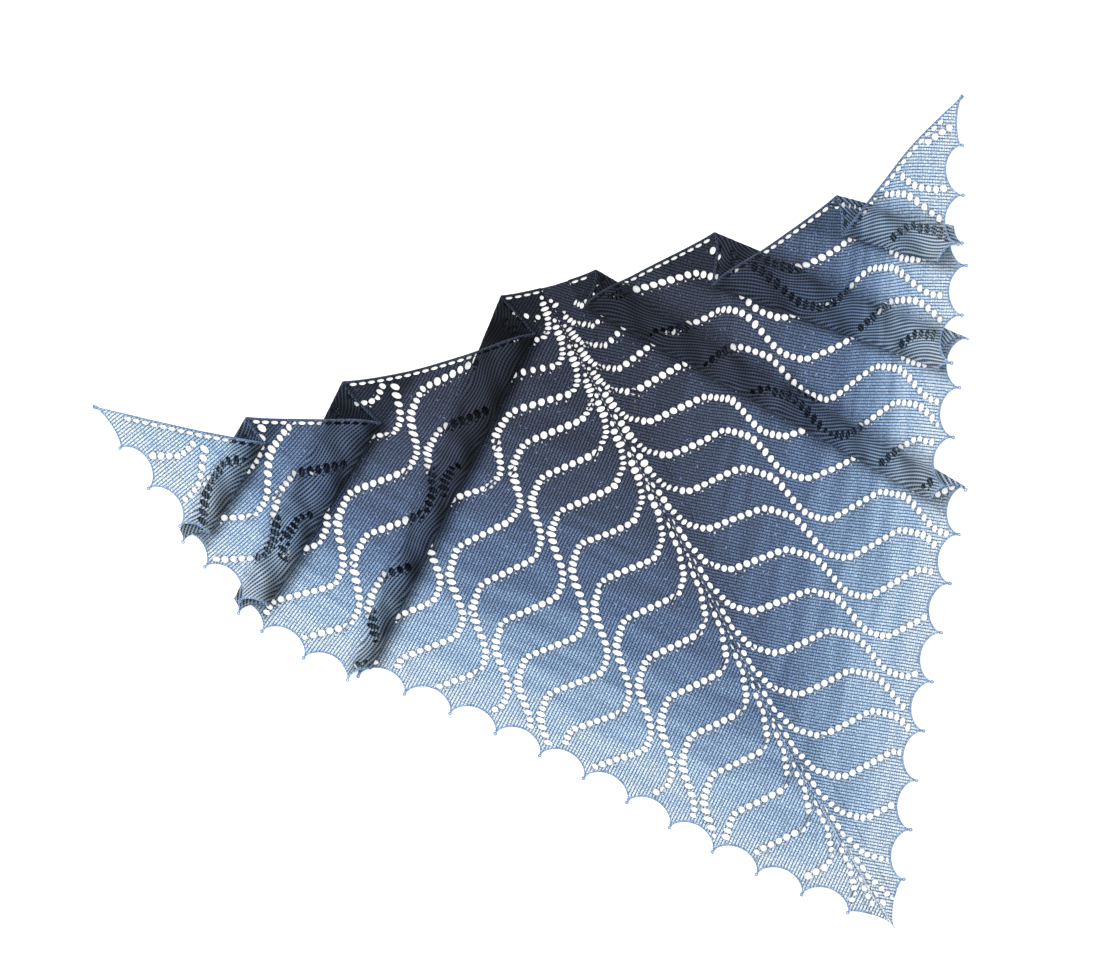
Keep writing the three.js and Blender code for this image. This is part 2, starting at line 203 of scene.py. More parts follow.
SLOT_DEPTHS = (3.4, 4.3)
SLOT_STEP, SLOT_PITCH, SLOTS_FROM, SLOTS_TO = 2.0, 5, 6, -16

# The least room between an edge and an eyelet, one made smaller, a slot or a spine eyelet
EYELET_ROOM, SMALL_ROOM, SLOT_ROOM, SPINE_ROOM = 1.5, 1.3, 1.2, 1.4
BEND_ROOM = 0.4
SMALL_LENGTH, SMALL_WIDTH = 0.8, 0.7
CROWDED = 0.85
FIRST_ROWS, LAST_ROWS = 0.02, 0.982
NEARLY = 0.01
LEAST_IN_SPINE = 3.3
LEAST_FROM_SPINE_EYELET = 5.6

# The middle of the spine's pattern, as how far out it lies at each distance down
SPINE_PATH = (
    (0, -16), (40, -15), (100, -13.5), (200, -11.5), (300, -9.8), (400, -9.2),
    (500, -10.8), (600, -11.3), (680, -8), (740, -5), (800, -1),
)
SPINE_COLUMN_HALF_WIDTH = 1.8
NARROWS_AT, NARROWS_OVER = 220, 120
# Each line leaves the spine beside the last few eyelets of the line before. The first table runs
# up from where it leaves, as shares of the step between lines, and the second runs down from it.
SPINE_COLUMN = (
    # share, out, wide near the neck, wide near the point
    (0.17, 6.9, 10.8, 5.4),
    (0.36, 6.6, 10.2, 6.0),
    (0.56, 5.6, 8.4, 5.8),
    (0.78, 3.5, 4.6, 3.8),
)
COLUMN_LONG, COLUMN_SHORTER = 0.19, (0.9, 1.3)
COLUMN_LEAN, COLUMN_DRAWN_IN = 0.12, 0.85
SPINE_FAN = ((0, 9), (8.5, 11.5), (15.5, 13.7), (21, 17.4), (26, 22.8))
FAN_STEP = 48
FAN_LONG, FAN_WIDE, FAN_STEEPER = (4.3, 6.2), 7.8, (0.6, 0.35)
SPINE_LONG_UNEVEN = (0.94, 1.04)
JOIN_DOWN = 28.7
# A line joins at a distance out from the spine, and starts a little after that turn of its wave
JOINS_AT = 26
FIRST_JOIN, LAST_JOIN = 40, SPINE_LENGTH - 4
JOIN_TURNS = (-0.8, 1.2, 0.005)
AFTER_JOIN, WITHOUT_JOIN = 0.024, -0.1
TOP_STEP = 30
SEAM_REACH, SEAM_ENDS = 9, 25
# Slits down the middle of the spine: how far up, how long and how wide
SPINE_SLITS = (
    (-0.02, 4.2, 3.4), (0.12, 3.2, 1.7), (0.3, 3.6, 1.5),
    (0.48, 3.6, 1.5), (0.66, 3.4, 1.6), (0.86, 3.6, 1.8),
)
SLIT_STEP = 42
FIRST_CHANCE = 12

# The mesh has some lines of points to each column of stitches, and keeps them off edges and bends
WALE_STEPS = 3
ROW_STEP = 4.6
EDGE_ROOM, RIM_ROOM, POINT_ROOM = 1.5, 0.62, 0.55
NEAR_RIM, NEAR_HOLE = 0.3, 9
BEYOND_EDGE, STATION_ROOM, BAND_ROOM = 1e-4, 0.7, 0.5
SAME_POINT = 1e-4
RIM_CELL = 0.9
CELL = 4.0

# The bound edges: each strand's height and its distance in from the edge
STRANDS = ((0.55, 0.1), (0.1, 1.5))
STRAND_RADIUS = 0.75
STRAND_STEP = 1.6
PICOT_RADIUS = 1.5
PICOT_SIDES = 9
CORD_SHADE = 0.76

# The yarn's look. A ridge and a stitch run from their edge to their top, as shares of a pitch.
RIDGE, NARROW_RIDGE = (0.5, 0.18), (0.36, 0.04)
STITCH, NARROW_STITCH = (0.5, 0.2), (0.34, 0.06)
STITCH_LEAN = 1.1
HEATHER_SCALE, HEATHER_LIGHT = 1.7, (0.6, 1.7)
DYE_SCALE, DYE_UNEVEN = (0.025, 0.16), 0.045
# Painted light and shade: ridges and stitches lighter and the hollows between them darker, and over a pleat
# the net's threads lighter and its gaps nearly black with the painted shade of the layers beneath
RIDGE_LIGHT, STITCH_LIGHT = (1.25, 0.15), (0.5, 0.62)
NET_STITCH, NET_LIGHT = 0.42, (1.3, 0.03)
LIP_SHADE = 0.45
# Painted light of the floor through pin-holes: how bright, the size of their cells and how few show
FLOOR_LIGHT_FLECK, FLECK_SCALE, FLECKS_FEW = 5.5, 0.62, 0.72
FUZZ_SCALE, FUZZ_HEIGHT = 9, 0.35
RIDGE_HEIGHT, STITCH_HEIGHT = 0.6, 0.45
BUMP_STRENGTH, BUMP_DISTANCE = 0.8, 0.0006
YARN_SURFACE = {
    "Roughness": 0.92, "Sheen Weight": 0.06, "Sheen Roughness": 0.5, "Specular IOR Level": 0.12,
}
COLOUR_PLACES = (0, 0.25, 0.45, 0.62, 0.75, 0.86, 1)

# The studio
CAMERA_FROM_START = (-0.1086, -0.1939)
SENSOR_WIDTH = 36
SEEN_WITHIN = 50
FLOOR_GLOW = 0.4
WORLD_STRENGTH = 0.52
SOFTBOXES = (
    # name, place, turn in degrees, size, power
    ("top softbox", (0.3, 0.4, 2.6), (0, 0, 0), 2.6, 32),
    ("side softbox", (-3.2, 3.8, 3.8), (-45, -32, 0), 2.4, 300),
)


def smooth(x):
    return x * x * (3 - 2 * x)


def mix(a, b, share):
    return a + (b - a) * share


def units(vectors):
    return vectors / np.linalg.norm(vectors, axis=1)[:, None]


def turned_left(vectors):
    return np.stack([-vectors[..., 1], vectors[..., 0]], -1)


def lengths_along(points):
    return np.r_[0, np.cumsum(np.hypot(*np.diff(points, axis=0).T))]


def between(at, places, points):
    """The points at some places between those where the given points lie."""
    return np.stack([np.interp(at, places, points[:, n]) for n in (0, 1)], -1)


# Fold lines and reflections


def line_through(a, b):
    """A line with its normal pointing outwards along the wing."""
    a, b = np.array(a, float), np.array(b, float)
    along = (b - a) / np.linalg.norm(b - a)
    out = turned_left(along)
    if out.sum() < 0:
        out = -out
    return SimpleNamespace(at=a, along=along, out=out)


SPINE_LINE = line_through((0, 0), (0, -1))


def distance(line, points):
    """How far points lie beyond a line."""
    return (points - line.at) @ line.out


def moved(line, by):
    return SimpleNamespace(at=line.at + line.out * by, along=line.along, out=line.out)


def reflection(line):
    turn = np.eye(3)
    turn[:2, :2] -= 2 * np.outer(line.out, line.out)
    turn[:2, 2] = 2 * (line.at @ line.out) * line.out
    return turn


def carried(points, fold_map):
    return points @ fold_map[:2, :2].T + fold_map[:2, 2]


def carried_line(line, fold_map):
    return line_through(carried(line.at, fold_map), carried(line.at + line.along, fold_map))


# Measured edges


def curve_through(points, steps=40):
    """A smooth curve through measured points, finely sampled, with its length along the way."""
    p = np.array(points, float)
    count = len(p)
    turn = np.linspace(0, count - 1, (count - 1) * steps + 1)
    n = np.minimum(turn.astype(int), count - 2)
    w = (turn - n)[:, None]
    p0, p1, p2, p3 = p[np.maximum(n - 1, 0)], p[n], p[n + 1], p[np.minimum(n + 2, count - 1)]
    v0, v1 = (p2 - p0) / 2, (p3 - p1) / 2
    curve = (2 * p1 - 2 * p2 + v0 + v1) * w**3 + (-3 * p1 + 3 * p2 - 2 * v0 - v1) * w**2 + v0 * w + p1
    return curve, lengths_along(curve)


def along_curve(curve, gone, shares):
    return between(shares * gone[-1], gone, curve)


def neck_edge(points):
    curve, gone = curve_through(points)
    return along_curve(curve, gone, np.linspace(0, 1, int(gone[-1] / NECK_STEP)))


def scalloped_edge(points):
    """The edge from the shawl's point to the wing's tip, in at the middle of each scallop."""
    curve, gone = curve_through(points)
    count = round(gone[-1] / PICOT_PITCH)
    turns = (1 - np.cos(np.pi * np.arange(SCALLOP_STEPS) / SCALLOP_STEPS)) / 2
    edge = []
    for n in range(count):
        shares = (n + turns) / count
        depth = SCALLOP_DEPTH * (1 - (2 * turns - 1) ** 2) ** SCALLOP_ROUND
        if n in (0, count - 1):
            depth = depth * SHALLOW_AT_ENDS
        before, at, after = (along_curve(curve, gone, shares + step) for step in (-1e-3, 0, 1e-3))
        edge.append(at + turned_left(units(after - before)) * depth[:, None])
    return np.concatenate([*edge, curve[-1:]])


def bow_of(points):
    """How far a measured edge lies from the straight line between its ends, by share of the way."""
    curve, _ = curve_through(points)
    chord = curve[-1] - curve[0]
    shares = (curve - curve[0]) @ chord / (chord @ chord)
    order = np.argsort(shares)
    bow = curve - (curve[0] + shares[:, None] * chord)
    return shares[order], bow[order]


def read_wing(side):
    """One wing with its edges, its pleats as lines on the flat cloth, and its rows."""
    given = WINGS[side]
    wing = SimpleNamespace(side=side, mirror=given["mirror"], lace=SimpleNamespace(**given["lace"]))
    wing.neck, wing.edge = neck_edge(given["neck"]), scalloped_edge(given["edge"])
    wing.point, wing.tip = np.array(given["edge"][0], float), np.array(given["edge"][-1], float)
    wing.neck_bow, wing.edge_bow = bow_of(given["neck"]), bow_of(given["edge"])
    wing.width = np.linalg.norm(wing.tip - wing.point)
    wing.row = (wing.tip - wing.point) / wing.width
    wing.down = np.array([wing.row[1], -wing.row[0]])
    wing.depth = wing.point @ wing.down
    wing.skew = wing.point @ wing.row
    wing.pleats = []
    under = np.eye(3)
    for pleat in given["pleats"]:
        hidden, shown = line_through(*pleat["hidden"]), line_through(*pleat["shown"])
        doubled = reflection(hidden) @ under
        top = reflection(shown) @ doubled
        wing.pleats.append(SimpleNamespace(
            under=under, doubled=doubled, top=top,
            hidden=carried_line(hidden, np.linalg.inv(under)),
            shown=carried_line(shown, np.linalg.inv(doubled)),
            over=carried_line(hidden, np.linalg.inv(top)), laid_shown=shown,
        ))
        under = top
    return wing


# Knitted places and flat points


KNIT_ROUNDS = 14


def shares_of(wing, knit):
    """How far down the wing and how far along its rows knitted places lie, as shares."""
    share = np.maximum(knit[:, 1] / wing.depth, 1e-6)
    return share, (knit[:, 0] / share - wing.skew) / wing.width


def bows_at(wing, share, part):
    """How far the wing's bowed edges carry its rows off straight ones."""
    bend = between(share, *wing.neck_bow) * part[:, None]
    return bend + between(part, *wing.edge_bow) * (share**3)[:, None]


def flat_of(wing, knit):
    """The flat points of knitted places."""
    share, part = shares_of(wing, knit)
    straight = knit[:, :1] * wing.row + knit[:, 1:] * wing.down
    return straight + bows_at(wing, share, part)


def knit_of(wing, flat):
    """The knitted places of flat points, found step by step."""
    knit = np.stack([flat @ wing.row, flat @ wing.down], -1)
    for _ in range(KNIT_ROUNDS):
        straight = flat - bows_at(wing, *shares_of(wing, knit))
        knit = np.stack([straight @ wing.row, straight @ wing.down], -1)
    return knit


# Laying the flat cloth out


def placed(fold_map, flat, height, up):
    """Flat points carried to where they lie, and their normals."""
    at = carried(flat, fold_map)
    normal = np.zeros((len(flat), 3))
    normal[:, 2] = up
    return np.column_stack([at, np.broadcast_to(height, len(flat))]), normal


def round_bend(fold, fold_map, flat, reach, rise, base, face):
    """Flat points carried round a fold, from the layer at the base to the one above it."""
    ahead = carried(fold.at + fold.out, fold_map) - carried(fold.at, fold_map)
    off = distance(fold, flat)
    angle = np.pi / 2 * np.clip(off / reach, -1, 1)
    foot = carried(flat - off[:, None] * fold.out, fold_map) - reach * (1 - np.cos(angle))[:, None] * ahead
    at = np.column_stack([foot, base + rise * (1 + np.sin(angle))])
    normal = np.column_stack([-ahead * (rise * np.cos(angle))[:, None], -reach * np.sin(angle)])
    return at, face * units(normal)


def height_over(pleat, flat):
    """The height of the stretch on top of a pleat, which then comes down to the surface."""
    off = distance(pleat.shown, flat) - SHOWN_REACH
    past = distance(pleat.over, flat)
    share = np.clip(off / np.maximum(off - np.minimum(past, 0), 1e-6), 0, 1)
    along = (flat - pleat.shown.at) @ pleat.shown.along
    uneven = np.sin(along / PUFF_WAVES[0] + PUFF_WAVES_BENT * np.sin(along / PUFF_WAVES[1]))
    puff = PUFF * np.sin(np.pi * share**PUFF_EARLY) * (1 + PUFF_UNEVEN * uneven)
    on_top = mix(TOP, OVER, smooth(share)) + puff
    coming_down = mix(OVER, REST, smooth(np.clip(past / SETTLE, 0, 1)))
    return np.where(past <= 0, on_top, coming_down)


def lay_out(wing, number, flat):
    """Places flat points of panel number, counted from 0 at the spine, with their normals."""
    if number == 0:
        at, normal = placed(np.eye(3), flat, REST, 1)
    else:
        pleat = wing.pleats[number - 1]
        at, normal = placed(pleat.top, flat, height_over(pleat, flat), 1)
        from_hidden, from_shown = distance(pleat.hidden, flat), distance(pleat.shown, flat)
        turned = placed(pleat.doubled, flat, DOUBLED, -1)
        first = round_bend(pleat.hidden, pleat.under, flat, HIDDEN_REACH, HIDDEN_RISE, REST, 1)
        second = round_bend(pleat.shown, pleat.doubled, flat, SHOWN_REACH, SHOWN_RISE, DOUBLED, -1)
        for chosen, (a, b) in (
            ((from_hidden > HIDDEN_REACH) & (from_shown < -SHOWN_REACH), turned),
            (from_hidden <= HIDDEN_REACH, first),
            (np.abs(from_shown) <= SHOWN_REACH, second),
        ):
            at[chosen], normal[chosen] = a[chosen], b[chosen]
    at[:, 0] *= wing.mirror
    normal[:, 0] *= wing.mirror
    return at, normal


# The yarn is painted dark with the shade of the layers beneath where a point counts as lying over them
def layered(wing, number, flat):
    """How far each point counts as lying over or under other layers, from 0 to 1."""
    if number == 0:
        return np.zeros(len(flat))
    pleat = wing.pleats[number - 1]
    return 1 - smooth(np.clip((distance(pleat.over, flat) + LAYERS_SHOW) / LAYERS_SHOW, 0, 1))


def fold_shade(wing, number, flat, at):
    """How much light reaches each point beside and behind the folds, from 0 to 1."""
    shade = np.ones(len(flat))
    by_fold, by_end, past_end, under = FOLD_SHADES[wing.side]

    def fading(off, which):
        return np.exp(-((off / FOLD_SHADE_WIDTHS[which]) ** 2))

    if number > 0:
        pleat = wing.pleats[number - 1]
        from_fold = np.maximum(distance(pleat.shown, flat) - SHOWN_REACH, 0)
        to_end = -distance(pleat.over, flat)
        behind = np.where(to_end > 0, by_end * fading(to_end, 1), past_end * fading(to_end, 2))
        shade -= by_fold * fading(from_fold, 0) * (to_end > 0) + behind
        along = (flat - pleat.shown.at) @ pleat.shown.along
        ripple = np.sin(along / RIPPLES[0] + from_fold / RIPPLES[1])
        shade -= RIPPLE_SHADE * np.maximum(ripple, 0) * layered(wing, number, flat)
    if number < len(wing.pleats):
        own = at[:, :2] * (wing.mirror, 1)
        off = -distance(wing.pleats[number].laid_shown, own)
        shade -= under * fading(np.maximum(off, 0), 3)
    return np.clip(shade, LEAST_SHADE, 1)


def twist(wing, number, flat):
    """How many columns the stitches of a pleat have slipped sideways, as in a slack rope."""
    if number == 0:
        return np.zeros(len(flat))
    pleat = wing.pleats[number - 1]
    along = (flat - pleat.shown.at) @ pleat.shown.along
    out = distance(pleat.shown, flat)
    a, b, c, d = TWISTS
    return TWIST * (np.sin(along / a + out / b) + 0.5 * np.sin(along / c - out / d + number))


# Outlines of the panels


def crossing(line, edge):
    """Where a line across the wing meets an edge, and the edge's point after it."""
    off = distance(line, edge)
    n = np.nonzero((off[:-1] <= 0) != (off[1:] <= 0))[0][-1]
    return mix(edge[n], edge[n + 1], off[n] / (off[n] - off[n + 1])), n + 1


def stepped(a, b, step):
    """Points from a towards b, without b."""
    count = max(1, math.ceil(np.linalg.norm(b - a) / step))
    return a + (b - a) * (np.arange(count) / count)[:, None]


def spaced(points):
    """Drops points that crowd the one before, and keeps the first and last."""
    kept = [points[0]]
    for p in points[1:-1]:
        if min(np.linalg.norm(p - kept[-1]), np.linalg.norm(p - points[-1])) > LEAST_STEP:
            kept.append(p)
    return np.array([*kept, points[-1]])


def panel_lines(wing, number):
    """The lines between which a panel lies; the last one has no far line."""
    if number == 0:
        near = moved(SPINE_LINE, SPINE_HALF_WIDTH + SEAM)
    else:
        near = moved(wing.pleats[number - 1].hidden, -HIDDEN_REACH)
    if number == len(wing.pleats):
        return near, None
    return near, moved(wing.pleats[number].hidden, -HIDDEN_REACH - SEAM)


def panel_outline(wing, number):
    """A panel's closed outline on the flat cloth, and the neck and edge parts of it."""
    near, far = panel_lines(wing, number)
    near_top, neck_from = crossing(near, wing.neck)
    near_low, edge_from = crossing(near, wing.edge)
    if far is None:
        neck_to, edge_to, far_top, far_low = len(wing.neck) - 1, len(wing.edge) - 1, wing.tip, wing.tip
        far_side = np.empty((0, 2))
    else:
        far_top, neck_to = crossing(far, wing.neck)
        far_low, edge_to = crossing(far, wing.edge)
        far_side = stepped(far_low, far_top, SIDE_STEP)[1:]
    neck = spaced(np.array([near_top, *wing.neck[neck_from:neck_to], far_top]))
    edge = spaced(np.array([near_low, *wing.edge[edge_from:edge_to], far_low]))
    near_side = stepped(near_top, near_low, SIDE_STEP)
    return np.concatenate([near_side, edge, far_side, neck[:0:-1]]), neck, edge


def inside(points, outline):
    """Which points lie within a closed outline."""
    within = np.zeros(len(points), bool)
    x, y = points[:, 0], points[:, 1]
    for a, b in zip(outline, np.roll(outline, -1, axis=0)):
        if a[1] != b[1]:
            crossed = (a[1] > y) != (b[1] > y)
            within ^= crossed & (x < (b[0] - a[0]) * (y - a[1]) / (b[1] - a[1]) + a[0])
    return within


def clearance(points, others):
    """The distance from each point to the nearest of the others."""
    nearest = np.empty(len(points))
    for n in range(0, len(points), 2000):
        gap = points[n : n + 2000, None] - others[None]
        nearest[n : n + 2000] = np.sqrt((gap**2).sum(-1).min(1))
    return nearest


# Eyelets


def swing(turn):
    """How far out a line of eyelets swings at each turn of its wave, a little smoothed."""
    places, reaches = zip(*SWING)
    late = turn - SWING_LATE
    level = sum(
        weight * np.interp((late + shift) % 1, places, reaches)
        for weight, shift in ((1, -0.03), (2, 0), (1, 0.03))
    )
    return level / 4 - SWING_LOW


def line_of_eyelets(wing, n, turns):
    """Places along line n in knitted directions."""
    lace = wing.lace
    even = lace.even_from + LINE_STEP * n
    drawn = even - lace.drawn_in * max(0, n + lace.narrow) ** 2 - np.interp(n, *lace.gathered)
    across = np.where(turns < 1, mix(drawn, even, np.clip(turns, 0, 1)), even)
    first = lace.start - lace.slope * mix(even, drawn, lace.lean)
    second = lace.start - lace.slope * even + lace.period
    down = np.where(turns < 1, mix(first, second, turns), second + (turns - 1) * lace.period)
    return np.stack([across + LINE_STEP * lace.swing * swing(turns), down], -1)


def unit(x, y):
    return np.array([x, y]) / math.hypot(x, y)


def oval(centre, direction, long, wide, sides=FEW_SIDES, grown=0):
    turn = 2 * np.pi * (np.arange(sides) + 0.5) / sides
    x, y = (long / 2 + grown) * np.cos(turn), (wide / 2 + grown) * np.sin(turn)
    return centre + x[:, None] * direction + y[:, None] * turned_left(direction)


def out_from_spine(wing, flat):
    """How far flat points lie from the middle of the spine's pattern."""
    return flat[:, 0] - wing.mirror * np.interp(-flat[:, 1], *zip(*SPINE_PATH))


def where_line_joins(wing, n):
    """The turn at which line n comes clear of the spine, and its distance down, or nothing."""
    turns = np.arange(*JOIN_TURNS)
    flat = flat_of(wing, line_of_eyelets(wing, n, turns))
    near = np.nonzero(out_from_spine(wing, flat) < JOINS_AT)[0]
    if not len(near) or not FIRST_JOIN <= -flat[near[-1], 1] <= LAST_JOIN:
        return None
    return turns[near[-1]], -flat[near[-1], 1]


def chart_line(wing, n, turns, chance):
    """The eyelets of line n at the given turns, in knitted directions."""
    centres = line_of_eyelets(wing, n, turns)
    before, after = (line_of_eyelets(wing, n, turns + by) for by in (-TURN_STEP, TURN_STEP))
    ahead = units(after - before)
    gaps = np.linalg.norm(np.diff(centres, axis=0, append=centres[-1:]), axis=1)
    eyelets = []
    for turn, centre, direction, gap in zip(turns, centres, ahead, gaps):
        phase = (turn - SWING_LATE) % 1
        out_part = phase < OUT_PART
        lean, wide, longest = OUT_EYELET if out_part else BACK_EYELET
        if not out_part:
            wide += wing.lace.swell * math.exp(-(((phase - SWELL_AT) / SWELL_REACH) ** 2))
        wide *= chance.uniform(*WIDE_UNEVEN)
        long = min(gap - STRAND_BETWEEN, longest) * chance.uniform(*LONG_UNEVEN)
        tight = min(max(np.linalg.norm(centre) / GATHERED_WITHIN, GATHERED_TO), 1)
        eyelets.append(SimpleNamespace(
            centre=centre, direction=unit(direction[0] * (1 - lean), direction[1] * (1 - lean) + lean),
            long=max(long * tight, LEAST_LONG), wide=wide * tight**0.3, out_part=out_part,
            pin_hole=chance.uniform(*PIN_HOLES), ahead=direction,
        ))
    return eyelets


def chart_wing(wing):
    """Every eyelet of one wing in knitted directions, and the spine's in flat ones."""
    chance = np.random.default_rng(FIRST_CHANCE + wing.mirror)
    eyelets, spine = [], []
    joins = {n: where_line_joins(wing, n) for n in range(-LINES_BELOW, LINES_ABOVE)}
    steps = np.arange(0, WAVES_IN_LINE * EYELETS_PER_WAVE) / EYELETS_PER_WAVE
    for n, join in joins.items():
        eyelets += chart_line(wing, n, steps + (join[0] + AFTER_JOIN if join else WITHOUT_JOIN), chance)
        if join:
            above = joins.get(n + 1)
            step = abs(join[1] - above[1]) if above else TOP_STEP
            spine += chart_spine_line(wing, join[1], step, chance)
    second, lowest = sorted(join[1] for join in joins.values() if join)[-2:]
    spine += chart_spine_line(wing, 2 * lowest - second, lowest - second, chance)
    flat = flat_of(wing, np.array([e.centre for e in eyelets]))
    gaps = clearance(flat, np.array([eyelet[0] for eyelet in spine]))
    return [e for e, gap in zip(eyelets, gaps) if gap > LEAST_FROM_SPINE_EYELET], spine


def chart_spine_line(wing, join_down, step, chance):
    """The eyelets beside the spine of one line, as flat centres, directions, lengths and widths."""
    leaves = join_down - JOIN_DOWN * step / FAN_STEP
    low = min(max((leaves - NARROWS_AT) / NARROWS_OVER, 0), 1)
    eyelets = []

    def add(down, out, direction, long, wide):
        middle = wing.mirror * np.interp(down, *zip(*SPINE_PATH))
        long *= chance.uniform(*SPINE_LONG_UNEVEN)
        eyelets.append((np.array([middle + out, -down]), direction, long, wide))

    for share, out, wide_top, wide_low in SPINE_COLUMN:
        long, wide = COLUMN_LONG * step - mix(*COLUMN_SHORTER, low), mix(wide_top, wide_low, low)
        out *= mix(1, COLUMN_DRAWN_IN, low)
        add(leaves - share * step, out, unit(COLUMN_LEAN, -1), long, wide)
    for (down, out), (next_down, next_out) in zip(SPINE_FAN, (*SPINE_FAN[1:], (JOIN_DOWN, JOINS_AT))):
        tangent = unit(next_out - out, -(next_down - down) * step / FAN_STEP)
        direction = unit(tangent[0] * FAN_STEEPER[0], tangent[1] - FAN_STEEPER[1])
        add(leaves + down * step / FAN_STEP, out, direction, mix(*FAN_LONG, low), FAN_WIDE)
    if wing.mirror > 0:
        for share, long, wide in SPINE_SLITS:
            add(leaves - share * step, 0, unit(0, -1), long * step / SLIT_STEP, wide)
    return eyelets


class Cut:
    """The holes of one piece of cloth, with the rims where its stitches close up round them."""

    def __init__(self):
        self.rings, self.rims, self.centres = [], [], []

    def take(self, ring, rim, centre):
        self.rings.append(ring)
        self.rims.append(rim)
        self.centres.append(centre)

    def add(self, centre, direction, long, wide, sides=HOLE_SIDES, to_knit=None):
        ring, rim = (oval(centre, direction, long, wide, sides, grown) for grown in (0, RIM_WIDTH))
        if to_knit:
            ring, rim = to_knit(ring), to_knit(rim)
            centre = ring.mean(0)
        self.take(ring, rim, centre)

    def crowded(self, centre, least):
        if not self.centres:
            return False
        return np.linalg.norm(np.array(self.centres) - centre, axis=1).min() < least


def neck_slots(wing):
    """The slots just inside the neck edge, as flat centres, directions, lengths and widths."""
    line = evenly(wing.neck, SLOT_STEP)
    share = np.linspace(0, 1, len(line))
    middle = inset(line, -mix(*SLOT_DEPTHS, share)[:, None])
    return [
        (middle[n], unit(*(line[n + 1] - line[n - 1])), SLOT_LENGTH, mix(*SLOT_WIDTHS, share[n]))
        for n in range(SLOTS_FROM, len(line) + SLOTS_TO, SLOT_PITCH)
    ]


def cut_panel(wing, number, outline, eyelets, spine):
    """The eyelets that a panel has room for, and the pin-holes beside them."""
    pleat = wing.pleats[number - 1] if number > 0 else None
    bends = [(pleat.hidden, HIDDEN_REACH), (pleat.shown, SHOWN_REACH)] if pleat else []
    cut = Cut()
    border = knit_of(wing, outline)
    guard, wider = border, border
    if not pleat:
        at_seam = outline[:, 0] < SPINE_HALF_WIDTH + SEAM + NEARLY
        guard = border[~at_seam]
        wider = knit_of(wing, np.column_stack([np.where(at_seam, 0, outline[:, 0]), outline[:, 1]]))

    def fits(ring, room):
        if not inside(ring, wider).all() or clearance(ring, guard).min() < room:
            return False
        flat = flat_of(wing, ring)
        return all(np.abs(distance(fold, flat)).min() > reach + BEND_ROOM for fold, reach in bends)

    def to_knit(flat):
        return knit_of(wing, flat)

    if not pleat:
        for eyelet in spine:
            ring = oval(*eyelet)
            if ring[:, 0].max() > SPINE_HALF_WIDTH + SEAM and fits(to_knit(ring), SPINE_ROOM):
                cut.add(*eyelet, FEW_SIDES, to_knit)
    for slot in neck_slots(wing):
        if fits(to_knit(oval(*slot)), SLOT_ROOM):
            cut.add(*slot, FEW_SIDES, to_knit)
    near_cloth = inside(np.array([e.centre for e in eyelets]), wider)
    for e in (eyelets[n] for n in np.nonzero(near_cloth)[0]):
        if not FIRST_ROWS <= e.centre[1] / wing.depth <= LAST_ROWS or cut.crowded(e.centre, e.long * CROWDED):
            continue
        long, wide = e.long, e.wide
        if pleat and distance(pleat.over, flat_of(wing, e.centre[None]))[0] < STRETCHED_WITHIN:
            wide = e.wide * STRETCHED
        if not fits(oval(e.centre, e.direction, long, wide), EYELET_ROOM):
            long, wide = e.long * SMALL_LENGTH, e.wide * SMALL_WIDTH
            if not fits(oval(e.centre, e.direction, long, wide), SMALL_ROOM):
                continue
        cut.add(e.centre, e.direction, long, wide)
        if e.out_part:
            side = turned_left(e.ahead)
            if side[0] > 0:
                side = -side
            centre = e.centre + side * (e.wide / 2 + PIN_HOLE_OFF) + e.ahead * (e.long / 2)
            has_room = fits(oval(centre, e.direction, e.pin_hole, e.pin_hole), EYELET_ROOM)
            if has_room and not cut.crowded(centre, e.pin_hole + EYELET_ROOM):
                cut.add(centre, e.direction, e.pin_hole, e.pin_hole * 1.2, PIN_HOLE_SIDES)
    return cut


# Knitting a mesh


def by_cell(points):
    """The numbers of the points in each square cell."""
    cells = {}
    for n, cell in enumerate(np.floor(points / CELL).astype(int).tolist()):
        cells.setdefault(tuple(cell), []).append(n)
    return cells


def clear_of(points, others, least):
    """Which points aren't within least, which is less than a cell, of any of the others."""
    cells = by_cell(others)
    clear = np.ones(len(points), bool)
    for (x, y), members in by_cell(points).items():
        near = [m for i in (-1, 0, 1) for j in (-1, 0, 1) for m in cells.get((x + i, y + j), ())]
        if near:
            clear[members] = clearance(points[members], others[near]) > least
    return clear


def off_bends(points, bands, to_flat):
    """The points that lie outside the bands that bend."""
    for line, reach in bands:
        points = points[np.abs(distance(line, to_flat(points))) > reach]
    return points


def fill_points(border, rims, wale, bands, to_flat):
    """Points along the columns of stitches, clear of every edge, rim and bend."""
    steps = (wale / WALE_STEPS, ROW_STEP)
    low, high = np.floor(border.min(0) / steps), np.ceil(border.max(0) / steps) + 1
    lines = [np.arange(low[n], high[n]) * steps[n] for n in (0, 1)]
    points = np.stack(np.meshgrid(*lines, indexing="ij"), -1).reshape(-1, 2)
    points = points[inside(points, border)]
    points = points[clear_of(points, border, EDGE_ROOM)]
    for rim in rims:
        near = (points > rim.min(0) - NEAR_RIM) & (points < rim.max(0) + NEAR_RIM)
        maybe = np.nonzero(near.all(1))[0]
        if len(maybe):
            hit = inside(points[maybe], rim) | (clearance(points[maybe], rim) < POINT_ROOM)
            points = np.delete(points, maybe[hit], axis=0)
    return off_bends(points, bands, to_flat)


